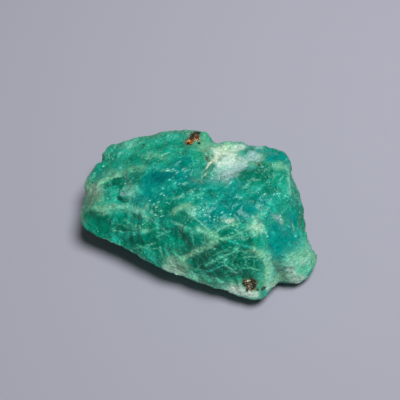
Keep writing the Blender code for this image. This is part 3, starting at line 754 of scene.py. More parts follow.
# On the middle, with its crossing veins.
MIDDLE = (
    ("sea_green", 0.65, 0.5, 0.6, ((5.6, -3.0), (6.6, -4.0), (7.4, -3.4))),
    ("bottle_green", 0.55, 0.35, 0.5, ((6.4, -6.4), (7.4, -6.6), (8.4, -6.9))),
    ("sea_green", 0.5, 0.8, 0.9, ((-5.4, -0.4), (-3.4, -0.2), (-1.6, 0.2))),
    ("bottle_green", 0.45, 0.35, 0.5, ((-5.0, -1.2), (-4.4, -0.9))),
    ("blue_teal", 0.85, 0.8, 0.8, ((1.4, -2.0), (3.4, -1.3), (4.2, -2.2))),
    ("blue_teal", 0.75, 0.6, 0.7, ((0.2, -3.2), (1.4, -3.9), (-0.6, -4.0))),
    ("blue_teal", 0.85, 0.7, 0.7, ((6.2, -1.4), (7.6, -0.9), (8.6, -1.8), (7.8, -2.6))),
    ("ink_teal", 0.45, 0.25, 0.4, ((3.0, -0.3), (4.2, -0.4))),
    ("ink_teal", 0.35, 0.3, 0.4, ((2.2, -2.6), (2.8, -2.2))),
    ("bottle_green", 0.75, 0.35, 0.45, ((1.1, 1.1), (1.7, 1.2), (2.3, 0.7))),
    ("pale_teal", 0.55, 0.2, 0.35, ((-2.0, 0.2), (-1.2, 0.7), (-0.2, 0.9), (0.5, 1.0))),
    ("pale_teal", 0.5, 0.12, 0.25, ((0.7, 1.8), (1.5, 2.1), (2.6, 2.0))),
    ("mint", 0.4, 0.08, 0.2, ((-1.4, 0.7), (-0.4, 0.8), (0.4, 1.1))),
    ("mint", 0.55, 0.14, 0.2, ((-4.4, 0.2), (-4.0, 0.3))),
    ("mint", 0.5, 0.14, 0.22, ((-3.5, 0.4), (-2.9, 0.5))),
    ("pale_teal", 0.55, 0.2, 0.35, ((0.1, -2.6), (0.6, -1.5), (1.4, -0.8), (2.4, -0.1))),
    ("pale_teal", 0.4, 0.12, 0.25, ((2.0, -0.6), (3.0, 0.2), (3.9, 0.7))),
    ("mint", 0.45, 0.06, 0.14, ((4.2, -1.0), (4.8, -1.6))),
    ("pale_moss", 0.75, 0.25, 0.35, ((-4.5, -2.3), (-4.0, -1.7), (-3.2, -1.2), (-2.3, -0.9), (-1.5, -1.1))),
    ("mint", 0.85, 0.3, 0.4, ((-2.0, -1.5), (-1.7, -2.2), (-1.4, -2.6))),
    ("mint", 0.7, 0.2, 0.35, ((-1.2, -1.5), (-1.1, -2.2))),
    ("bottle_green", 0.75, 0.25, 0.35, ((-3.1, -2.1), (-2.6, -2.4), (-2.1, -2.8), (-2.0, -3.5))),
    ("leaf_green", 0.5, 0.25, 0.35, ((-3.8, -2.7), (-3.3, -2.6))),
    ("bottle_green", 0.55, 0.4, 0.5, ((-4.6, -3.0), (-3.4, -3.3), (-2.5, -3.6))),
    ("mint", 0.55, 0.06, 0.12, ((-0.75, -1.3), (-0.75, -2.0))),
    ("pale_teal", 0.45, 0.15, 0.3, ((0.0, -2.5), (0.2, -1.8))),
    ("pale_moss", 0.75, 0.25, 0.35, ((3.9, -3.2), (4.6, -3.5), (5.5, -3.5))),
    ("cloud_white", 0.6, 0.15, 0.25, ((4.3, -3.4), (4.7, -3.5))),
    ("cloud_white", 0.6, 0.12, 0.2, ((5.1, -3.4), (5.5, -3.2))),
    ("mint", 0.65, 0.1, 0.2, ((-4.7, -3.6), (-3.9, -3.9), (-3.0, -4.2), (-1.8, -4.6), (-0.6, -4.9))),
    ("bottle_green", 0.55, 0.2, 0.35, ((4.4, -4.8), (5.4, -4.6))),
    ("leaf_green", 0.6, 0.4, 0.45, ((0.7, -6.3), (1.6, -6.7), (2.4, -6.5))),
    ("pale_moss", 0.45, 0.3, 0.4, ((1.2, -6.8), (2.0, -6.6), (2.4, -5.9))),
    ("bottle_green", 0.5, 0.3, 0.4, ((3.3, -5.6), (3.8, -6.0))),
    ("bottle_green", 0.5, 0.35, 0.5, ((0.0, -6.1), (0.2, -6.6), (-0.4, -7.3))),
    ("bottle_green", 0.75, 0.35, 0.5, ((-2.4, -5.6), (-1.8, -6.6), (-1.6, -7.4))),
    ("bottle_green", 0.85, 0.45, 0.5, ((-3.2, -8.2), (-2.2, -8.3), (-2.6, -8.8))),
    ("bottle_green", 0.7, 0.2, 0.35, ((-4.9, -5.6), (-3.9, -5.6), (-3.9, -6.1))),
    ("sea_green", 0.6, 0.6, 0.6, ((-5.0, -6.9), (-4.0, -7.5))),
    ("pale_moss", 0.5, 0.2, 0.3, ((-3.2, -4.3), (-2.9, -4.9))),
    ("mint", 0.45, 0.05, 0.14, ((-1.3, -5.2), (-1.2, -6.2), (-1.0, -7.6))),
    ("mint", 0.4, 0.07, 0.16, ((-2.3, -6.6), (-2.1, -7.4))),
    ("mint", 0.4, 0.06, 0.16, ((-7.2, -4.5), (-6.2, -4.9), (-5.0, -5.2))),
    ("mint", 0.35, 0.05, 0.14, ((-7.0, -5.3), (-6.0, -5.5), (-5.2, -5.9))),
    ("mint", 0.4, 0.06, 0.14, ((-7.2, -6.1), (-6.4, -5.7), (-5.6, -5.3))),
    ("mint", 0.45, 0.08, 0.18, ((-6.5, -7.8), (-6.4, -8.6), (-6.2, -9.3))),
    ("pale_teal", 0.45, 0.15, 0.35, ((-5.7, -7.9), (-5.4, -9.0))),
    ("bottle_green", 0.8, 0.2, 0.3, ((-6.8, -8.8), (-6.5, -9.6), (-6.3, -10.2))),
    ("blue_teal", 0.7, 0.4, 0.6, ((3.2, -2.2), (4.1, -2.5))),
    ("sea_green", 0.6, 0.35, 0.5, ((-1.2, -4.3), (-0.4, -4.6))),
    ("sea_green", 0.7, 0.4, 0.6, ((5.0, -5.3), (5.9, -5.5))),
    ("bottle_green", 0.6, 0.4, 0.5, ((7.8, -7.2), (8.5, -7.6))),
    ("blue_teal", 0.65, 0.5, 0.6, ((6.6, -2.0), (7.8, -1.9))),
    ("blue_teal", 0.65, 0.4, 0.6, ((1.6, -1.5), (2.6, -1.4))),
    ("bottle_green", 0.55, 0.3, 0.5, ((-3.7, -9.0), (-2.9, -9.2))),
    ("sea_green", 0.6, 0.5, 0.7, ((-6.2, -4.0), (-5.0, -4.2))),
    ("sea_green", 0.6, 0.25, 0.4, ((-1.4, -4.3), (-0.2, -4.6))),
    ("blue_teal", 0.6, 0.4, 0.5, ((4.4, -2.0), (5.2, -2.3))),
    ("sea_green", 0.6, 0.3, 0.5, ((2.1, -6.7), (2.9, -6.6))),
    ("ink_teal", 0.35, 0.5, 0.6, ((6.6, -2.0), (7.6, -1.9))),
    ("bottle_green", 0.35, 0.4, 0.6, ((4.9, -5.3), (5.9, -5.4))),
    ("pale_teal", 0.3, 0.5, 0.7, ((-6.1, -3.9), (-5.1, -4.1))),
)
# On the pale stain on the front edge.
FRONT_STAIN = (
    ("pale_moss", 0.8, 0.7, 0.8, ((-4.4, -10.2), (-4.8, -11.2), (-3.2, -11.8), (-2.8, -10.8))),
    ("cloud_white", 0.25, 0.4, 0.8, ((-4.9, -10.4), (-4.4, -11.5), (-2.6, -12.0))),
    ("olive_grey", 0.65, 0.3, 0.4, ((-4.0, -9.8), (-3.7, -10.3))),
    ("olive_grey", 0.6, 0.25, 0.4, ((-3.7, -11.2), (-3.3, -11.4), (-2.8, -11.2))),
    ("cloud_white", 0.4, 0.3, 0.4, ((-5.6, -11.3), (-4.6, -11.8), (-3.6, -12.1))),
    ("umber", 0.85, 0.06, 0.08, ((-4.8, -10.9), (-4.5, -11.1))),
    # Partly painted light: this pale line along the lower rim is partly the stone's own colour and partly
    # the light that shines through the thin edge.
    ("mint", 0.6, 0.07, 0.14, ((-7.0, -11.2), (-6.0, -11.6), (-5.0, -12.0), (-4.0, -12.3), (-2.5, -12.5))),
    ("mint", 0.5, 0.06, 0.16, ((-4.2, -8.9), (-3.4, -9.4), (-2.7, -9.7))),
    ("pale_moss", 0.65, 0.3, 0.7, ((-2.2, -12.6), (0.6, -13.7), (3.2, -14.6), (5.6, -15.4))),
    ("cloud_white", 0.65, 0.35, 0.45, ((6.2, -15.1), (7.2, -15.3), (8.6, -15.6))),
    ("pale_moss", 0.45, 0.3, 0.6, ((-0.6, -13.6), (1.0, -13.9))),
    ("pale_moss", 0.5, 0.35, 0.6, ((-0.4, -13.6), (0.9, -13.9))),
)
# On the dark cells of the netted front face.
FRONT_CELLS = (
    ("bottle_green", 0.8, 1.5, 1.0, ((0.2, -9.8), (2.6, -8.6), (4.6, -7.6))),
    ("bottle_green", 0.8, 1.5, 1.0, ((1.6, -11.4), (4.6, -11.4), (7.4, -9.2), (8.4, -11.8))),
    ("sea_green", 0.5, 0.5, 0.6, ((4.6, -8.0), (5.6, -7.4), (7.0, -6.8))),
    ("pine", 0.65, 0.35, 0.35, ((2.5, -7.5), (3.4, -7.3), (4.2, -7.1))),
    ("pine", 0.5, 0.4, 0.4, ((1.6, -8.5), (2.4, -8.7))),
    ("pine", 0.45, 0.3, 0.3, ((-0.9, -9.7), (0.6, -9.1))),
    ("pine", 0.55, 0.22, 0.25, ((-0.8, -10.3), (-0.6, -10.8))),
    ("pine", 0.5, 0.2, 0.25, ((2.2, -10.4), (2.8, -10.4))),
    ("pine", 0.45, 0.25, 0.3, ((0.5, -11.3), (1.2, -11.3))),
    ("pine", 0.45, 0.2, 0.25, ((1.4, -12.2), (2.4, -12.3))),
    ("pine", 0.5, 0.25, 0.3, ((3.4, -11.7), (4.4, -11.5))),
    ("pine", 0.6, 0.16, 0.2, ((5.0, -12.4), (5.1, -12.6))),
    ("pine", 0.5, 0.2, 0.25, ((5.2, -9.6), (5.8, -10.2))),
    ("pine", 0.55, 0.35, 0.3, ((8.1, -6.6), (8.4, -7.2))),
    ("pine", 0.5, 0.2, 0.2, ((5.5, -7.9), (6.0, -7.8))),
    ("pine", 0.55, 0.3, 0.25, ((6.4, -10.4), (7.2, -10.2))),
    ("pine", 0.6, 0.25, 0.22, ((8.2, -9.9), (8.4, -10.4))),
    ("pine", 0.5, 0.2, 0.25, ((6.6, -9.1), (7.1, -9.2))),
    ("pine", 0.5, 0.4, 0.35, ((7.4, -12.0), (8.4, -11.8), (8.4, -12.4))),
    ("bottle_green", 0.7, 0.3, 0.3, ((9.3, -10.3), (9.6, -10.9))),
    ("bottle_green", 0.6, 0.25, 0.3, ((9.3, -11.9), (9.6, -12.0))),
    ("sea_green", 0.7, 0.3, 0.4, ((9.3, -6.4), (9.6, -7.2))),
)
# On the east side.
EAST_SIDE = (
    ("blue_teal", 0.95, 1.7, 0.9, ((12.9, -5.5), (14.6, -6.4), (13.2, -7.2))),
    ("blue_teal", 0.85, 0.6, 0.6, ((14.8, -2.2), (15.3, -3.4))),
    ("blue_teal", 0.8, 0.5, 0.6, ((15.4, -6.6), (16.0, -6.0))),
    ("blue_teal", 0.8, 0.5, 0.6, ((12.4, -8.4), (13.4, -9.0))),
    ("pale_teal", 0.5, 0.7, 0.8, ((12.0, -1.2), (13.4, -0.6), (13.6, 0.4))),
    ("bottle_green", 0.45, 0.3, 0.4, ((13.0, -1.5), (14.2, -0.3))),
    ("ink_teal", 0.45, 0.2, 0.35, ((16.0, -0.6), (16.4, -1.8))),
    ("ink_teal", 0.5, 0.12, 0.3, ((11.6, -7.0), (11.8, -8.2), (11.9, -9.4))),
    ("ice_blue", 0.5, 0.25, 0.45, ((12.3, -2.9), (13.3, -3.0), (13.4, -3.6))),
    ("olive_grey", 0.4, 0.2, 0.4, ((16.4, -3.0), (16.6, -4.4))),
    ("pale_teal", 0.45, 0.2, 0.4, ((16.4, -5.2), (16.8, -6.2), (17.0, -7.0))),
    ("pale_moss", 0.6, 0.08, 0.14, ((15.2, -3.9), (15.3, -4.5))),
    ("pale_moss", 0.4, 0.12, 0.2, ((15.4, -4.5), (15.5, -5.0))),
    ("pale_teal", 0.5, 0.15, 0.3, ((15.6, -5.8), (15.9, -5.5))),
    ("pale_teal", 0.5, 0.15, 0.25, ((12.0, -5.4), (12.4, -5.7))),
    ("pale_teal", 0.45, 0.1, 0.2, ((13.6, -4.9), (14.1, -4.7))),
    ("pale_teal", 0.4, 0.06, 0.12, ((14.8, -6.8), (14.7, -7.3), (15.0, -7.6))),
    ("ice_blue", 0.5, 0.1, 0.2, ((10.7, -5.4), (11.0, -5.3))),
    ("mint", 0.85, 0.55, 0.55, ((8.5, -4.2), (9.3, -4.5), (10.0, -4.7))),
    ("cream", 0.35, 0.35, 0.5, ((9.0, -4.4), (9.6, -4.6))),
    ("pale_moss", 0.65, 0.35, 0.5, ((8.8, -3.3), (9.6, -2.8))),
    ("pale_moss", 0.5, 0.25, 0.4, ((8.7, -5.2), (9.5, -5.3))),
    ("bottle_green", 0.55, 0.1, 0.2, ((7.8, -5.1), (8.1, -5.2))),
    ("olive_grey", 0.65, 0.07, 0.13, ((10.3, -3.2), (9.8, -3.6), (9.3, -4.0))),
    ("olive_grey", 0.45, 0.05, 0.12, ((10.1, -2.8), (9.5, -3.2))),
    ("pale_teal", 0.6, 0.18, 0.35, ((9.9, -2.9), (10.8, -2.1), (11.3, -1.3), (11.7, -0.3))),
    ("mint", 0.65, 0.07, 0.12, ((10.4, -2.45), (10.9, -2.1))),
    ("mint", 0.6, 0.06, 0.12, ((11.0, -1.65), (11.3, -1.35))),
    ("mint", 0.45, 0.07, 0.16, ((11.4, -0.6), (11.7, 0.2))),
    ("pale_teal", 0.4, 0.12, 0.3, ((15.0, -1.6), (14.6, -0.8))),
)
# On the lobe and its gully, with painted shade down the gully.
LOBE = (
    ("mint", 0.78, 1.2, 0.7, ((15.2, -10.2), (17.0, -9.2), (17.4, -11.0))),
    ("pale_moss", 0.35, 0.5, 0.6, ((15.0, -10.4), (16.4, -9.8), (18.0, -8.8))),
    ("leaf_green", 0.45, 0.3, 0.4, ((16.5, -8.7), (17.2, -8.9))),
    ("leaf_green", 0.45, 0.35, 0.4, ((16.6, -11.4), (17.6, -11.3))),
    ("sea_green", 0.6, 0.15, 0.25, ((13.3, -9.6), (14.2, -9.4), (14.9, -9.5))),
    ("sea_green", 0.5, 0.2, 0.3, ((15.4, -8.9), (16.4, -8.2))),
    ("mint", 0.8, 0.08, 0.14, ((13.9, -10.5), (15.2, -9.7), (16.2, -9.0), (17.1, -8.2))),
    ("mint", 0.65, 0.06, 0.12, ((14.2, -9.5), (15.3, -8.8), (16.2, -8.3))),
    ("mint", 0.6, 0.06, 0.12, ((15.4, -10.6), (16.6, -9.9), (17.8, -9.4))),
    ("cloud_white", 0.4, 0.2, 0.35, ((16.7, -10.2), (17.3, -10.1))),
    # Painted shade: the olive grey, dark green and pine marks down the gully stand in for the shade in that
    # hollow.
    ("olive_grey", 0.85, 0.45, 0.45, ((12.4, -10.7), (13.3, -12.0), (14.0, -13.0))),
    ("bottle_green", 0.5, 0.2, 0.35, ((12.2, -10.9), (12.6, -11.3))),
    ("pine", 0.35, 0.3, 0.5, ((12.3, -10.7), (13.0, -11.8), (13.6, -12.9))),
    ("mint", 0.6, 0.4, 0.6, ((14.3, -10.6), (15.2, -12.0), (15.4, -13.0))),
    ("cloud_white", 0.5, 0.2, 0.5, ((14.8, -11.1), (15.3, -12.0), (15.5, -12.9))),
    ("mint", 0.55, 0.55, 0.6, ((11.0, -9.6), (11.5, -11.2), (11.9, -12.8), (11.4, -14.4))),
    ("mint", 0.55, 0.3, 0.45, ((10.6, -8.7), (11.0, -9.8), (11.2, -11.0))),
    ("pale_moss", 0.6, 0.35, 0.45, ((11.2, -10.6), (11.3, -12.0), (11.7, -13.0), (11.4, -14.0))),
    ("mint", 0.55, 0.3, 0.4, ((11.6, -12.8), (12.1, -13.0))),
    ("bark_brown", 0.35, 0.08, 0.15, ((11.1, -9.3), (11.3, -9.5))),
    ("pale_moss", 0.55, 0.5, 0.7, ((9.6, -14.0), (10.4, -13.4), (10.9, -12.6))),
    ("pale_moss", 0.55, 0.4, 0.6, ((12.6, -12.9), (14.2, -13.0), (15.6, -12.8))),
    ("pale_moss", 0.4, 0.6, 0.9, ((15.4, -9.6), (16.8, -9.6), (18.0, -8.6))),
    ("pale_moss", 0.35, 0.35, 0.5, ((11.0, -10.4), (11.1, -11.6), (10.9, -13.4))),
    ("pale_moss", 0.65, 0.4, 0.6, ((15.2, -13.2), (16.6, -13.0))),
    ("pale_moss", 0.65, 0.4, 0.6, ((11.4, -14.2), (12.6, -13.7))),
    ("pale_moss", 0.55, 0.4, 0.6, ((18.6, -8.8), (18.9, -10.4))),
    ("pale_moss", 0.4, 0.4, 0.7, ((17.6, -7.2), (18.4, -7.6))),
    ("pale_moss", 0.5, 0.3, 0.5, ((14.7, -11.6), (15.3, -12.4))),
    ("pale_moss", 0.45, 0.4, 0.6, ((18.5, -9.2), (18.9, -10.2))),
    ("cloud_white", 0.6, 0.4, 0.6, ((15.2, -13.4), (16.4, -13.3))),
    ("cloud_white", 0.35, 0.35, 0.6, ((11.2, -14.3), (12.2, -14.1))),
    ("mint", 0.4, 0.35, 0.5, ((17.5, -7.3), (18.4, -7.6))),
    ("cloud_white", 0.45, 0.35, 0.6, ((14.7, -11.7), (15.3, -12.4))),
)
# On the lines that cross on the crest above the front.
CREST_LINES = (
    ("pale_moss", 0.6, 0.3, 0.45, ((-0.2, -4.9), (0.4, -5.1), (1.1, -5.4), (2.2, -5.9))),
    ("mint", 0.9, 0.16, 0.2, ((-0.2, -4.95), (0.4, -5.1), (1.1, -5.4))),
    ("vein_green", 0.85, 0.1, 0.16, (
        (1.1, -5.4), (1.9, -5.7), (2.5, -6.0), (3.0, -6.2), (3.6, -6.5), (4.3, -6.6),
    )),
    ("pale_teal", 0.6, 0.08, 0.2, ((4.3, -6.6), (5.4, -7.0), (6.4, -7.3), (7.6, -7.6), (8.6, -7.9))),
    ("vein_green", 0.75, 0.07, 0.13, (
        (-0.9, -3.0), (-0.2, -3.5), (0.7, -4.3), (1.5, -5.0), (2.2, -5.7), (2.8, -6.1),
    )),
    ("vein_green", 0.75, 0.09, 0.15, (
        (6.6, -3.9), (5.8, -4.1), (4.8, -4.15), (4.0, -4.4), (3.2, -4.8), (2.8, -5.3), (2.9, -6.0),
    )),
    ("pale_moss", 0.85, 0.26, 0.35, ((2.7, -6.8), (1.7, -7.4), (0.8, -7.9), (-0.2, -8.3), (-1.2, -8.8))),
    ("pale_moss", 0.9, 0.2, 0.28, ((-0.4, -8.4), (-1.4, -8.9), (-2.8, -9.6))),
    ("vein_green", 0.85, 0.12, 0.18, ((3.1, -6.4), (2.3, -7.0), (1.4, -7.6), (0.5, -8.05), (-0.6, -8.5))),
    ("vein_green", 0.5, 0.08, 0.2, ((3.4, -6.5), (4.8, -6.25), (6.0, -5.7), (7.0, -5.3), (8.0, -4.7))),
)
# On the veins of the netted front face, and the front tip.
FRONT_VEINS = (
    ("vein_green", 0.66, 0.06, 0.13, (
        (-1.7, -11.9), (-0.6, -11.4), (0.5, -11.5), (1.3, -11.8), (2.0, -11.5), (3.0, -11.1), (4.0, -10.8),
    )),
    ("pale_teal", 0.67, 0.14, 0.3, (
        (1.0, -10.7), (2.0, -10.2), (3.2, -9.6), (4.5, -9.0), (5.5, -8.6), (6.3, -8.0), (6.0, -7.5),
    )),
    ("vein_green", 0.95, 0.09, 0.16, (
        (1.0, -10.7), (2.0, -10.2), (3.2, -9.6), (4.5, -9.0), (5.5, -8.6), (6.3, -8.0),
    )),
    ("vein_green", 0.3, 0.05, 0.11, ((1.1, -8.3), (1.0, -9.0), (1.4, -9.8), (2.0, -10.1))),
    ("vein_green", 0.27, 0.05, 0.11, ((-0.6, -8.7), (-0.3, -9.5), (-0.4, -10.3), (-0.2, -11.3))),
    ("vein_green", 0.49, 0.05, 0.11, ((0.9, -10.3), (0.2, -10.6), (-0.4, -11.2))),
    ("vein_green", 0.3, 0.05, 0.11, ((3.8, -9.3), (4.3, -9.8), (4.6, -10.3), (4.3, -10.8))),
    ("vein_green", 0.95, 0.1, 0.16, ((4.1, -10.8), (5.0, -11.3), (5.6, -11.8), (6.0, -12.1))),
    ("vein_green", 0.59, 0.06, 0.12, ((5.9, -11.9), (5.1, -12.3), (4.3, -12.6))),
    ("vein_green", 0.27, 0.05, 0.11, ((5.3, -9.0), (5.5, -9.8), (5.3, -10.6), (5.8, -11.4))),
    ("vein_green", 0.59, 0.06, 0.12, ((6.2, -8.4), (6.9, -8.3), (7.5, -8.6), (8.0, -8.4))),
    ("vein_green", 0.3, 0.05, 0.11, ((6.1, -8.5), (6.0, -9.2), (5.6, -9.7))),
    ("vein_green", 0.3, 0.05, 0.11, ((7.5, -8.7), (7.4, -9.4), (7.6, -10.2), (7.8, -11.0))),
    ("vein_green", 0.59, 0.06, 0.12, ((7.2, -9.5), (8.2, -9.3), (9.1, -9.4), (10.1, -9.5))),
    ("vein_green", 0.66, 0.06, 0.12, (
        (6.2, -11.9), (7.1, -11.2), (8.3, -11.1), (9.1, -11.4), (10.0, -11.6),
    )),
    ("vein_green", 0.3, 0.05, 0.11, ((8.8, -9.4), (8.9, -10.2), (8.7, -11.1), (8.8, -12.2))),
    ("vein_green", 0.27, 0.05, 0.11, ((6.2, -10.9), (6.6, -11.3), (6.9, -11.9), (6.8, -12.5))),
    ("vein_green", 0.49, 0.05, 0.11, ((4.5, -8.5), (5.3, -8.3), (6.0, -7.6), (6.8, -7.3))),
    ("vein_green", 0.44, 0.05, 0.11, ((2.2, -9.2), (3.2, -8.6), (4.2, -8.3), (5.0, -7.8))),
    ("vein_green", 0.44, 0.05, 0.11, ((1.6, -10.9), (2.6, -10.8), (3.4, -10.3), (4.3, -10.2))),
    ("pale_moss", 0.67, 0.32, 0.45, ((8.9, -8.3), (9.4, -8.5), (10.1, -9.0))),
    ("pale_teal", 0.34, 0.12, 0.3, ((10.3, -6.1), (10.4, -7.4), (10.9, -8.3))),
    ("pale_teal", 0.62, 0.12, 0.3, ((0.0, -12.0), (1.5, -11.6), (3.0, -11.1), (4.0, -10.7))),
    ("mint", 0.62, 0.3, 0.45, ((-1.6, -12.2), (0.3, -12.8), (2.0, -13.0), (3.6, -13.4))),
    ("leaf_green", 0.56, 0.35, 0.4, ((0.5, -13.2), (2.5, -13.6), (4.6, -13.2), (6.0, -13.2))),
    # Partly painted light: this pale line along the lower rim is partly the stone's own colour and partly
    # the light that shines through the thin edge.
    ("vein_green", 0.66, 0.07, 0.14, (
        (-2.5, -12.5), (-1.4, -12.7), (-0.5, -13.1), (0.5, -13.7), (1.5, -14.0), (3.0, -14.2),
    )),
    ("mint", 0.45, 0.4, 0.6, ((3.4, -14.0), (4.8, -14.2))),
    ("cloud_white", 0.88, 0.5, 0.5, ((5.4, -14.6), (6.4, -14.9), (9.0, -15.4))),
    ("bark_brown", 0.95, 0.45, 0.35, ((7.5, -13.6), (8.2, -13.9), (8.9, -13.7))),
    ("bark_brown", 0.67, 0.2, 0.3, ((8.2, -14.4), (9.0, -14.5))),
    ("pale_moss", 0.45, 0.2, 0.3, ((5.4, -13.9), (7.0, -14.2))),
    ("leaf_green", 0.46, 0.35, 0.4, ((9.9, -13.9), (9.9, -14.6), (10.1, -15.3))),
    ("umber", 0.67, 0.09, 0.12, ((10.4, -14.4), (10.8, -14.5))),
    ("umber", 0.67, 0.09, 0.12, ((9.4, -14.7), (9.6, -14.7))),
    ("sea_green", 0.43, 0.25, 0.35, ((10.2, -12.0), (10.3, -13.0))),
    ("pale_moss", 0.5, 0.35, 0.5, ((-0.5, -13.4), (0.9, -13.9))),
)
BODY_MARKS = (
    *BROW, *CLEAR_HEART, *CLOUD, *EAST_HEAD, *WEST_END, *WEST_FACE, *MIDDLE, *FRONT_STAIN, *FRONT_CELLS,
    *EAST_SIDE, *LOBE,
)
VEIN_MARKS = (*CREST_LINES, *FRONT_VEINS)

# Single crushed specks, pale in themselves and painted as bright as glints: painted highlights.
PAINTED_GLINTS = (
    (-17.35, 4.4), (-12.35, 2.7), (-13.1, 5.3), (-15.2, 0.25), (-14.75, -1.05), (-11.3, -8.4),
    (-5.45, 4.85), (-5.15, 4.85), (-4.1, 4.85), (-5.35, 5.2), (-4.4, 5.1), (-5.0, 3.35), (-6.1, 1.9),
    (-6.3, 1.1), (-7.6, -0.7), (-6.9, -0.4), (-7.2, -1.2), (-7.4, -2.4), (-7.3, -2.5), (-6.4, -2.7),
    (-6.4, -1.8), (-6.0, -2.6), (-5.9, -4.7), (-8.3, -0.1), (0.75, -2.4), (1.6, -2.8), (2.35, -3.2),
    (3.6, -2.05), (5.0, -2.35), (0.6, -7.1), (12.75, 1.05), (13.15, 1.05), (12.2, 0.9), (10.65, 0.95),
    (13.3, -3.2), (13.2, -2.7), (15.75, -5.95), (11.1, -6.0), (6.5, 0.5), (6.8, 0.4), (-2.05, 10.95),
    (1.1, 7.55), (10.3, 5.5), (-5.25, 10.6), (-1.1, 8.3), (-15.9, 5.6), (2.5, -8.0), (4.3, -9.8),
)


def mixed(base, colour, amount):
    """The base colours with a colour laid over them, by an amount from 0 to 1 at each point."""
    return base + (np.array(colour) - base) * np.clip(amount, 0.0, 1.0)[:, None]


# The net of fine veins: its cells' size, the way they are drawn out, and how far.
NET_SIZE = 0.95
NET_GRAIN = Vector((0.82, 0.42, 0.39)).normalized()
NET_STRETCH = 2.1
# Where the net is strongest on the photographed side: half width, soft edge, places.
NET_FACE = (1.6, 1.4, ((1.0, -10.2), (3.6, -9.0), (7.2, -9.2), (8.4, -11.4)))
# The strength of the net's veins all over, and on that face, where marks draw the main ones.
GROUND_VEINS = 0.36
FACE_VEINS = 0.1


def netted(painted, points, colours, amount, vein_strength):
    """Lays a net of pale veins, with darker cells between them, over the painted colours."""
    along = points @ np.array(NET_GRAIN)
    squeezed = (points - np.outer(along, NET_GRAIN) * (1.0 - 1.0 / NET_STRETCH)) / NET_SIZE
    squeezed += 0.15 * clouds(points, 0.9, seeds=(36, 37, 38), octaves=2)
    veined = vein_strength * patches(points, 0.8, seed=39, low=-0.35, high=0.35, octaves=2)
    rim = np.ones(len(points))
    tone = np.zeros(len(points))
    for i in np.flatnonzero(amount > 0.0):
        gaps, centres = noise.voronoi(Vector(squeezed[i]))
        rim[i] = gaps[1] - gaps[0]
        tone[i] = noise.cell(centres[0] * 5.3)
    inside = rise(0.1, 0.3, rim)
    painted = mixed(painted, colours.bottle_green, amount * 0.45 * inside)
    painted = mixed(painted, colours.pine, amount * 0.6 * inside * rise(0.5, 0.9, tone))
    return mixed(painted, colours.vein_green, amount * veined * (1.0 - rise(0.02, 0.2, rim)))


def lines_in(pattern, sharpness):
    """1 along the lines where a pattern crosses its middle value, and less on both sides."""
    return 1.0 - np.abs(pattern) * sharpness


def ground_colours(points, bend, colours):
    """The mottled and streaked ground that the whole stone has, with paler ridges and painted shade in its
    cracks.
    """
    streaked = patches(points, 5.5, seed=20, low=-0.25, high=0.35, octaves=2)
    thread = lines_in(sheeted(points, 0.8, 2.8, seed=16), 6.0)
    crossing = lines_in(cloud(points, 2.4, seed=18, octaves=2), 10.0)
    slant = lines_in(sheeted(points, 1.1, 3.0, seed=26, normal=CROSS_NORMAL), 7.0)
    pale_sheets = rise(0.0, 0.55, sheeted(points, 0.5, 1.9, seed=14)) * streaked
    dark_sheets = rise(0.1, 0.6, sheeted(points, 0.4, 1.4, seed=15)) * streaked
    layers = (
        ("blue_teal", 0.80 * patches(points, 7.0, seed=11, low=-0.05, high=0.35)),
        ("bottle_green", 0.70 * patches(points, 4.0, seed=12, low=0.0, high=0.4)),
        ("leaf_green", 0.50 * patches(points, 4.0, seed=13, low=0.05, high=0.4)),
        ("bottle_green", 0.40 * patches(points, 1.3, seed=27, low=0.05, high=0.5)),
        ("pale_teal", 0.22 * patches(points, 1.6, seed=28, low=0.05, high=0.55)),
        ("pale_teal", 0.32 * pale_sheets),
        ("bottle_green", 0.35 * dark_sheets),
        ("mint", 0.35 * rise(0.3, 1.0, thread) * patches(points, 2.6, seed=17, low=-0.1, high=0.35)),
        ("mint", 0.25 * rise(0.2, 1.0, crossing) * patches(points, 3.5, seed=19, low=-0.1, high=0.4)),
        ("mint", 0.25 * rise(0.3, 1.0, slant) * patches(points, 2.9, seed=29, low=-0.05, high=0.4)),
        # Ridges and rims paler, partly as wear and partly as a painted highlight; cracks darker, as painted
        # shade.
        ("mint", 0.34 * rise(0.012, 0.045, bend)),
        ("ink_teal", 0.35 * rise(0.010, 0.045, -bend)),
    )
    ground = np.tile(np.array(colours.sea_green), (len(points), 1))
    for name, amount in layers:
        ground = mixed(ground, getattr(colours, name), amount)
    net = 0.6 * patches(points, 4.2, seed=35, low=0.05, high=0.45, octaves=2)
    return netted(ground, points, colours, net, GROUND_VEINS)


# How far a mark's edge wanders: in long bends and in short ones, as a share of the mark's reach,
# and at most, in millimetres.
LONG_BENDS = (0.35, 0.6)
SHORT_BENDS = (0.4, 0.16)
# Round each wide mark lies a fainter haze: how much wider than the mark it is, its share of the
# mark's strength, and the reach at which a mark begins to have it and at which it has all of it.
HAZE_SPREAD = 1.8
HAZE_SHARE = 0.28
HAZE_FROM = (0.2, 0.533)
# A painted glint's half length across and up, and how far its painted glow reaches.
PAINTED_GLINT_HALF = (0.08, 0.04)
PAINTED_GLINT_REACH = 0.15
# What a colour's red is multiplied by: in the greens, in the pale marks and in the whites.
RED_IN_GREENS = 0.72
RED_IN_PALES = 1.06
RED_IN_WHITES = 0.98
# Painted light: how much paler the faces that look to the front are painted, in place of the light
# they lack, and how bright that may make the brightest channel.
FRONT_PAINTED_LIGHT = 0.62
FRONT_PAINTED_LIGHT_LIMIT = 0.92


def wander(reach, bends):
    """How far the edge of a mark with this reach wanders, in millimetres."""
    share, most = bends
    return min(most, share * reach)


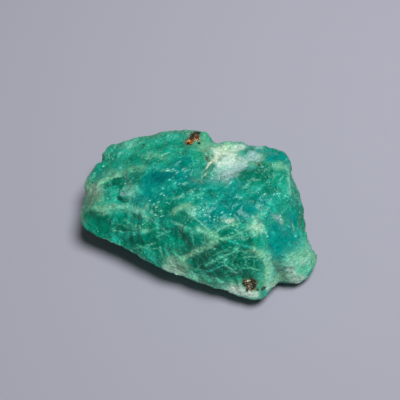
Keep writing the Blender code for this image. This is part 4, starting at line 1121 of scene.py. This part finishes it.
class StonePainter:
    """Paints the stone's vertices, with marks whose edges wander like a mineral's."""

    def __init__(self, stone, colours, view):
        self.mesh = stone.data
        self.points = vertex_array(self.mesh) / MM
        self.tree = tree_of(stone)
        self.colours = colours
        self.view = view
        self.long_bends = clouds(self.points, 1.6, seeds=(21, 22, 23))
        self.short_bends = clouds(self.points, 0.6, seeds=(31, 32, 33), octaves=2)
        self.blotches = cloud(self.points, 0.9, seed=24)
        self.fine_blotches = cloud(self.points, 0.35, seed=25, octaves=2)
        self.flecks = cloud(self.points, 0.24, seed=40, octaves=2)
        self.painted = ground_colours(self.points, edge_sharpness(self.mesh), colours)

    def lay(self, near, name, amount):
        """Lays a colour over the points that are near."""
        self.painted[near] = mixed(self.painted[near], getattr(self.colours, name), amount)

    def lay_marks(self, marks):
        for name, strength, half_width, soft, places in marks:
            reach = half_width + soft
            moved = self.points + self.long_bends * wander(reach, LONG_BENDS)
            moved += self.short_bends * wander(reach, SHORT_BENDS)
            near, gap = nearness(moved, self.view.trace(self.tree, places), reach * HAZE_SPREAD)
            gap += soft * (0.45 * self.blotches[near] + 0.35 * self.fine_blotches[near])
            core = 1.0 - rise(half_width, reach, gap)
            haze = HAZE_SHARE * (1.0 - rise(half_width, HAZE_SPREAD * reach, gap))
            haze *= np.interp(reach, HAZE_FROM, (0.0, 1.0))
            uneven = (0.35 * self.fine_blotches[near] + 0.5 * self.flecks[near]) / (0.6 + reach)
            self.lay(near, name, strength * np.maximum(core, haze) * (1.0 + uneven))

    def lay_net(self):
        """Nets the front face more finely than the ground."""
        near, amount = stroke(self.points, self.view, self.tree, *NET_FACE)
        net = np.zeros(len(self.points))
        net[near] = amount
        self.painted = netted(self.painted, self.points, self.colours, net, FACE_VEINS)

    # Painted highlights: each glint is a short dash of the bright glint colour.
    def lay_painted_glints(self):
        across, up = PAINTED_GLINT_HALF
        for u, v in PAINTED_GLINTS:
            dash = ((u - across, v - up), (u + across, v + up))
            near, amount = stroke(self.points, self.view, self.tree, 0.0, PAINTED_GLINT_REACH, dash)
            self.lay(near, "painted_glint", amount)

    def set_reds(self):
        """Takes red out of the greens, and leaves the pale marks and the whites about as they are."""
        red = self.painted[:, 0]
        kept = RED_IN_GREENS + (RED_IN_PALES - RED_IN_GREENS) * rise(0.02, 0.14, red)
        kept += (RED_IN_WHITES - RED_IN_PALES) * rise(0.25, 0.5, red)
        self.painted[:, 0] = red * kept

    def paint_front_light(self):
        """Paints light on the faces that look to the front, and makes all the colours a little uneven."""
        towards_front = -vertex_array(self.mesh, "normal")[:, 1]
        painted_front_light = 1.0 + FRONT_PAINTED_LIGHT * rise(0.25, 0.8, towards_front)
        room = np.maximum(1.0, FRONT_PAINTED_LIGHT_LIMIT / self.painted.max(axis=1))
        uneven = 1.0 + 0.14 * self.blotches + 0.22 * self.fine_blotches + 0.22 * self.flecks
        self.painted *= (np.minimum(painted_front_light, room) * uneven)[:, None]

    def store(self):
        """Keeps the colours in the mesh, with the clearness of the stone as their alpha."""
        clear = clearness(self.points, self.view, self.tree)
        rgba = np.column_stack((np.clip(self.painted, 0.0, 1.0), clear)).astype(np.float32)
        layer = self.mesh.color_attributes.new("stone_colour", "FLOAT_COLOR", "POINT")
        layer.data.foreach_set("color", rgba.ravel())


def paint(stone, colours, view):
    """Colours every vertex: ground, marks, net, veins, painted glints, and painted light on the front
    faces.
    """
    painter = StonePainter(stone, colours, view)
    painter.lay_marks(BODY_MARKS)
    painter.lay_net()
    painter.lay_marks(VEIN_MARKS)
    painter.lay_painted_glints()
    painter.set_reds()
    painter.paint_front_light()
    painter.store()


class NodeBench:
    """A material's node tree, with short calls to add and join nodes."""

    def __init__(self, name):
        self.material = bpy.data.materials.new(name)
        self.material.use_nodes = True
        self.tree = self.material.node_tree
        self.shader = self.tree.nodes["Principled BSDF"]

    def add(self, kind, inputs=(), **settings):
        """A node of a kind. An input is joined if it is another node's output, and set if it is a value."""
        node = self.tree.nodes.new(kind)
        for key, value in settings.items():
            setattr(node, key, value)
        for socket, value in dict(inputs).items():
            if isinstance(value, bpy.types.NodeSocket):
                self.tree.links.new(value, node.inputs[socket])
            else:
                node.inputs[socket].default_value = value
        return node

    def place(self):
        return self.add("ShaderNodeTexCoord").outputs["Object"]

    def spread(self, value, low, high, new_low, new_high):
        """The value's range from low to high stretched over a new range."""
        inputs = {"Value": value, "From Min": low, "From Max": high, "To Min": new_low, "To Max": new_high}
        return self.add("ShaderNodeMapRange", inputs).outputs["Result"]

    def noise(self, place, size_mm, detail, roughness, distortion=0.0):
        """Noise with features of the given size."""
        inputs = {
            "Vector": place, "Scale": 1.0 / (size_mm * MM), "Detail": detail, "Roughness": roughness,
            "Distortion": distortion,
        }
        return self.add("ShaderNodeTexNoise", inputs).outputs["Fac"]

    def patches(self, place, size_mm, low, high):
        """Soft patches of the given size: 0 where the noise is below low, 1 where it is above high."""
        return self.spread(self.noise(place, size_mm, 2.0, 0.5), low, high, 0.0, 1.0)

    def maths(self, kind, a, b=0.0):
        """A Math node of the given kind on one or two values."""
        return self.add("ShaderNodeMath", {0: a, 1: b}, operation=kind).outputs["Value"]

    def product(self, first, *rest):
        """The values multiplied together."""
        for value in rest:
            first = self.maths("MULTIPLY", first, value)
        return first

    def dimmed(self, colour, amount):
        """A colour times an amount, the same for each channel."""
        node = self.add("ShaderNodeVectorMath", {0: colour, 1: amount}, operation="MULTIPLY")
        return node.outputs["Vector"]

    def threads(self, place, size_mm, width, distortion):
        """1 along thin wandering threads, where noise crosses its middle value, and 0 away from them."""
        value = self.noise(place, size_mm, 5.0, 0.6, distortion)
        away = self.maths("ABSOLUTE", self.maths("SUBTRACT", value, 0.5))
        return self.spread(away, 0.0, width, 1.0, 0.0)

    def over(self, base, colour, amount):
        """A colour laid over the base by an amount."""
        node = self.add("ShaderNodeMix", data_type="RGBA")
        self.tree.links.new(amount, node.inputs["Factor"])
        self.tree.links.new(base, node.inputs["A"])
        node.inputs["B"].default_value = (*colour, 1.0)
        return node.outputs["Result"]

    def bump(self, height, depth, strength):
        return self.add(
            "ShaderNodeBump", {"Height": height, "Distance": depth * MM, "Strength": strength}
        ).outputs["Normal"]

    def join(self, output, *sockets):
        for socket in sockets:
            self.tree.links.new(output, self.shader.inputs[socket])

    def settle(self, values):
        """Sets constants on the shader's own sockets."""
        for socket, value in values.items():
            self.shader.inputs[socket].default_value = value


# How glossy the stone is, and how far light gets under its skin.
STONE_GLOSS = {
    "IOR": 1.53,
    "Specular IOR Level": 0.12,
    "Specular Tint": (0.3, 1.0, 0.85, 1.0),
    "Coat Weight": 0.16,
    "Coat Roughness": 0.12,
    "Subsurface Weight": 0.10,
    "Subsurface Radius": (0.5, 1.0, 0.9),
    "Subsurface Scale": 0.5 * MM,
}
# How the fine streaks are turned, so that they follow the sheets, and how they are drawn out.
STREAK_TURN = (math.radians(10), 0.0, math.radians(34))
STREAK_STRETCH = (2.4, 0.7, 1.2)
# The width of the tiny specks painted bright as sparkles: painted highlights.
SPARKLE_SPECK_SIZE = 0.17


def stone_finish(colours):
    """The painted stone: glassy where clear, with fine streaks along its sheets and a sugary grain."""
    bench = NodeBench("green stone")
    place = bench.place()
    painted = bench.add("ShaderNodeAttribute", attribute_name="stone_colour")
    clear = painted.outputs["Alpha"]
    along_sheets = bench.add(
        "ShaderNodeMapping",
        {"Vector": place, "Rotation": STREAK_TURN, "Scale": STREAK_STRETCH},
        vector_type="TEXTURE",
    ).outputs["Vector"]
    grain = bench.noise(place, 0.26, 5.0, 0.7)
    streaks = bench.spread(bench.noise(along_sheets, 0.32, 4.0, 0.65), 0.3, 0.7, 0.82, 1.20)
    mottle = bench.spread(grain, 0.3, 0.7, 0.81, 1.20)
    colour = bench.dimmed(bench.dimmed(painted.outputs["Color"], streaks), mottle)

    crushed = bench.spread(clear, 0.0, 0.8, 1.0, 0.15)
    pale_patches = bench.patches(place, 2.2, 0.42, 0.62)
    dark_patches = bench.spread(pale_patches, 0.0, 1.0, 1.0, 0.2)
    dark_threads = bench.product(bench.threads(along_sheets, 0.7, 0.03, 0.5), crushed, dark_patches)
    colour = bench.over(colour, colours.pine, bench.product(dark_threads, 0.55))
    pale_threads = bench.product(bench.threads(place, 1.1, 0.022, 0.7), crushed, pale_patches)
    colour = bench.over(colour, colours.mint, bench.product(pale_threads, 0.65))

    # Painted highlights: a few tiny cells on the crushed parts get the bright glint colour, as sparkles.
    cells = bench.add("ShaderNodeTexVoronoi", {"Vector": place, "Scale": 1.0 / (SPARKLE_SPECK_SIZE * MM)})
    chance = bench.add("ShaderNodeSeparateColor", {"Color": cells.outputs["Color"]}).outputs["Red"]
    sparkle_cells = bench.spread(chance, 0.90, 0.93, 0.0, 0.7)
    sparkle_patches = bench.patches(place, 1.7, 0.5, 0.65)
    specks = bench.product(sparkle_cells, crushed, sparkle_patches)
    bench.join(bench.over(colour, colours.painted_glint, specks), "Base Color")

    dullness = bench.spread(clear, 0.0, 1.0, 0.34, 0.20)
    bench.join(bench.product(dullness, bench.spread(grain, 0.35, 0.65, 0.7, 1.3)), "Roughness")
    grainy = bench.spread(clear, 0.0, 1.0, 0.7, 0.2)
    bench.join(bench.bump(grain, 0.05, grainy), "Normal", "Coat Normal")
    bench.settle(STONE_GLOSS)
    return bench.material


class STONE_OT_rough_stone(bpy.types.Operator):
    """Break up, vein and colour the surface of the stone"""

    bl_idname = "stone.rough_stone"
    bl_label = "Rough stone"

    def execute(self, context):
        scene = context.scene
        view = ViewPlane(scene.stone_studio)
        stone = fine_copy(scene.stone_surface)
        lift_surface(stone, scene.stone_surface, view)
        paint(stone, scene.stone_colours, view)
        stone.data.materials.clear()
        stone.data.materials.append(stone_finish(scene.stone_colours))
        select_only(stone)
        bpy.ops.object.shade_smooth()
        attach(stone, "root")
        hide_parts("hauyne_stone")
        return {"FINISHED"}


# The rust in the two pits: colour, number of grains, how far they scatter, places.
RUST_PITS = {
    "rust_grains_back": (
        ("bark_brown", 24, 0.30, ((-2.0, 9.9), (-1.2, 10.4), (-0.5, 10.8))),
        ("umber", 15, 0.12, ((-0.9, 11.0), (-0.2, 11.1))),
        ("umber", 14, 0.12, ((-1.5, 10.4), (-1.1, 10.7))),
        ("umber", 12, 0.14, ((-1.65, 10.05), (-1.6, 10.1))),
        ("umber", 12, 0.12, ((-2.3, 9.5), (-1.9, 9.2), (-1.4, 9.25))),
        ("umber", 4, 0.08, ((-0.1, 9.3), (0.0, 9.3))),
        ("russet", 18, 0.20, ((-0.7, 10.4), (-0.4, 10.3))),
        ("russet", 10, 0.16, ((-1.3, 10.0), (-1.1, 9.6))),
        ("rust", 18, 0.16, ((-2.0, 9.6), (-1.4, 9.45))),
        ("tan", 7, 0.14, ((-2.0, 9.7), (-1.7, 9.7))),
        ("tan", 7, 0.16, ((-0.95, 10.05), (-0.6, 9.7), (-0.3, 9.9))),
    ),
    "rust_grains_front": (
        ("bark_brown", 42, 0.28, ((7.4, -13.6), (8.2, -13.8), (8.9, -13.8))),
        ("bark_brown", 15, 0.20, ((7.9, -14.2), (8.8, -14.4))),
        ("peat", 12, 0.14, ((7.2, -13.4), (7.4, -13.9))),
        ("peat", 26, 0.18, ((8.3, -13.3), (8.8, -13.3), (9.2, -13.6))),
        ("peat", 10, 0.14, ((8.8, -13.8), (9.0, -14.1))),
        ("peat", 7, 0.07, ((7.8, -14.6), (7.8, -14.8))),
        ("peat", 7, 0.07, ((8.6, -14.6), (8.65, -14.9))),
        ("peat", 4, 0.06, ((9.45, -14.75), (9.5, -14.75))),
        ("peat", 5, 0.14, ((10.1, -14.7), (10.7, -14.6))),
        ("tan", 9, 0.18, ((7.8, -13.6), (8.3, -14.0), (8.4, -14.3))),
        ("cream", 4, 0.07, ((7.85, -13.2), (8.0, -13.4))),
        ("cream", 5, 0.07, ((8.45, -13.9), (8.4, -14.4))),
        ("tan", 4, 0.10, ((8.2, -14.7), (8.5, -14.8))),
    ),
}
# The least and the greatest radius of a rust grain, and how far its middle stands out of the
# stone, as a share of its radius.
GRAIN_RADIUS = (0.07, 0.15)
GRAIN_STAND = 0.2
# How far a grain's length, width and height, and the lightness of its colour, may vary.
GRAIN_VARIETY = (0.7, 1.3)


def model_grain():
    """One blocky grain, 2 mm wide, that every rust grain is a smaller copy of."""
    bpy.ops.mesh.primitive_cube_add(size=2.0 * MM)
    grain = bpy.context.active_object
    bpy.ops.object.mode_set(mode="EDIT")
    bpy.ops.mesh.select_all(action="SELECT")
    bpy.ops.mesh.bevel(offset=0.55 * MM, segments=1)
    bpy.ops.transform.vertex_random(offset=0.25 * MM, uniform=1.0, seed=4)
    bpy.ops.mesh.normals_make_consistent(inside=False)
    bpy.ops.object.mode_set(mode="OBJECT")
    return grain


def rust_finish():
    """Crumbly rust, each grain in its own colour."""
    bench = NodeBench("rust grains")
    painted = bench.add("ShaderNodeAttribute", attribute_name="grain_colour").outputs["Color"]
    crumb = bench.noise(bench.place(), 0.08, 3.0, 0.6)
    bench.join(bench.dimmed(painted, bench.spread(crumb, 0.3, 0.7, 0.6, 1.4)), "Base Color")
    bench.join(bench.spread(crumb, 0.3, 0.7, 0.25, 0.6), "Roughness")
    bench.join(bench.bump(crumb, 0.02, 0.5), "Normal")
    return bench.material


def bedded_grain(model, hit, facing, radius, turn, stretch, tone):
    """A copy of the model grain, bedded in the stone where it was hit, all in one tone."""
    grain = model.copy()
    grain.data = model.data.copy()
    bpy.context.scene.collection.objects.link(grain)
    middle = Matrix.Translation((hit + facing * radius * GRAIN_STAND) * MM)
    grain.data.transform(middle @ turn @ stretch)
    layer = grain.data.color_attributes.new("grain_colour", "FLOAT_COLOR", "POINT")
    layer.data.foreach_set("color", np.tile((*tone, 1.0), len(grain.data.vertices)).astype(np.float32))
    return grain


def scatter_grains(name, clusters, model, tree, view, colours, dice):
    """Beds copies of the model grain in the stone, cluster by cluster, and joins them in one piece."""
    grains = []
    for colour, count, scatter, places in clusters:
        for _ in range(count):
            leg = dice.randrange(len(places) - 1)
            along = between(places[leg], places[leg + 1], dice.random())
            across, up = (place + dice.gauss(0.0, scatter) for place in along)
            hit, facing = view.meets(tree, across, up)
            turn = Euler([dice.uniform(0.0, math.tau) for _ in range(3)]).to_matrix().to_4x4()
            radius = dice.uniform(*GRAIN_RADIUS)
            stretch = Matrix.Diagonal([radius * dice.uniform(*GRAIN_VARIETY) for _ in range(3)]).to_4x4()
            if hit is None:
                continue
            tone = np.array(getattr(colours, colour)) * dice.uniform(*GRAIN_VARIETY)
            grains.append(bedded_grain(model, hit, facing, radius, turn, stretch, tone))
    select_only(*grains)
    bpy.ops.object.join()
    piece = bpy.context.active_object
    piece.name = piece.data.name = name
    return piece


class STONE_OT_rust_grains(bpy.types.Operator):
    """Fill the two pits with rust grains"""

    bl_idname = "stone.rust_grains"
    bl_label = "Rust grains"

    def execute(self, context):
        scene = context.scene
        view = ViewPlane(scene.stone_studio)
        tree = tree_of(bpy.data.objects["rough_stone"])
        dice = random.Random(12)
        bpy.ops.object.select_all(action="DESELECT")
        model = model_grain()
        finish = rust_finish()
        for name, clusters in RUST_PITS.items():
            piece = scatter_grains(name, clusters, model, tree, view, scene.stone_colours, dice)
            piece.data.materials.append(finish)
            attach(piece, "root")
        bpy.data.objects.remove(model)
        return {"FINISHED"}


# The side of the square floor, and the nearest that a thing may be to the camera and still show.
FLOOR_SIDE = 1600.0 * MM
CAMERA_NEAR = 1.0 * MM


def lay_floor(studio):
    bpy.ops.mesh.primitive_plane_add(size=FLOOR_SIDE, location=(0.0, 0.0, 0.0))
    floor = bpy.context.active_object
    floor.name = "studio_floor"
    bench = NodeBench("pale floor")
    bench.settle({"Base Color": (*studio.floor_colour, 1.0), "Roughness": 0.9})
    floor.data.materials.append(bench.material)


def hang_lamp(studio):
    """A round soft lamp that faces the stone."""
    side = Vector(studio.lamp_side).normalized()
    bpy.ops.object.light_add(type="AREA", location=side * studio.lamp_distance)
    lamp = bpy.context.active_object
    lamp.name = "soft_lamp"
    lamp.data.shape = "DISK"
    lamp.data.size = studio.lamp_size
    lamp.data.energy = studio.lamp_power
    lamp.rotation_euler = side.to_track_quat("Z", "Y").to_euler()


def fill_with_light(scene):
    """Soft white light from all round, and colours shown as they are."""
    world = bpy.data.worlds.new("soft light all round")
    world.use_nodes = True
    background = world.node_tree.nodes["Background"]
    background.inputs["Color"].default_value = (1.0, 1.0, 1.0, 1.0)
    background.inputs["Strength"].default_value = scene.stone_studio.fill_strength
    scene.world = world
    scene.view_settings.view_transform = "Standard"


def place_camera(scene):
    view = ViewPlane(scene.stone_studio)
    turn = Matrix((view.right, view.up, -view.forward)).transposed()
    bpy.ops.object.camera_add(location=view.eye, rotation=turn.to_euler())
    camera = bpy.context.active_object
    camera.name = "camera"
    camera.data.lens = scene.stone_studio.camera_lens
    camera.data.clip_start = CAMERA_NEAR
    scene.camera = camera


class STONE_OT_studio(bpy.types.Operator):
    """Lay the floor, hang the lights and place the camera"""

    bl_idname = "stone.studio"
    bl_label = "Studio"

    def execute(self, context):
        scene = context.scene
        lay_floor(scene.stone_studio)
        hang_lamp(scene.stone_studio)
        fill_with_light(scene)
        place_camera(scene)
        return {"FINISHED"}


class STONE_PT_panel(bpy.types.Panel):
    """Buttons and settings for the stone and its studio"""

    bl_idname = "STONE_PT_panel"
    bl_label = "Rough stone"
    bl_space_type = "VIEW_3D"
    bl_region_type = "UI"
    bl_category = "Rough stone"

    def draw(self, context):
        scene = context.scene
        layout = self.layout
        for group in (scene.stone_surface, scene.stone_colours, scene.stone_studio):
            column = layout.column()
            for name in group.__annotations__:
                column.prop(group, name)
        for operator in OPERATORS:
            layout.operator(operator.bl_idname)


GROUPS = {"stone_surface": StoneSurface, "stone_colours": StoneColours, "stone_studio": Studio}
OPERATORS = (STONE_OT_rough_stone, STONE_OT_rust_grains, STONE_OT_studio)


def register():
    for name, group in GROUPS.items():
        bpy.utils.register_class(group)
        setattr(bpy.types.Scene, name, bpy.props.PointerProperty(type=group))
    for item in (*OPERATORS, STONE_PT_panel):
        bpy.utils.register_class(item)


def unregister():
    for item in reversed((*OPERATORS, STONE_PT_panel)):
        bpy.utils.unregister_class(item)
    for name, group in GROUPS.items():
        delattr(bpy.types.Scene, name)
        bpy.utils.unregister_class(group)


def main():
    register()
    bpy.ops.stone.rough_stone()
    bpy.ops.stone.rust_grains()
    bpy.ops.stone.studio()


if __name__ == "__main__":
    main()
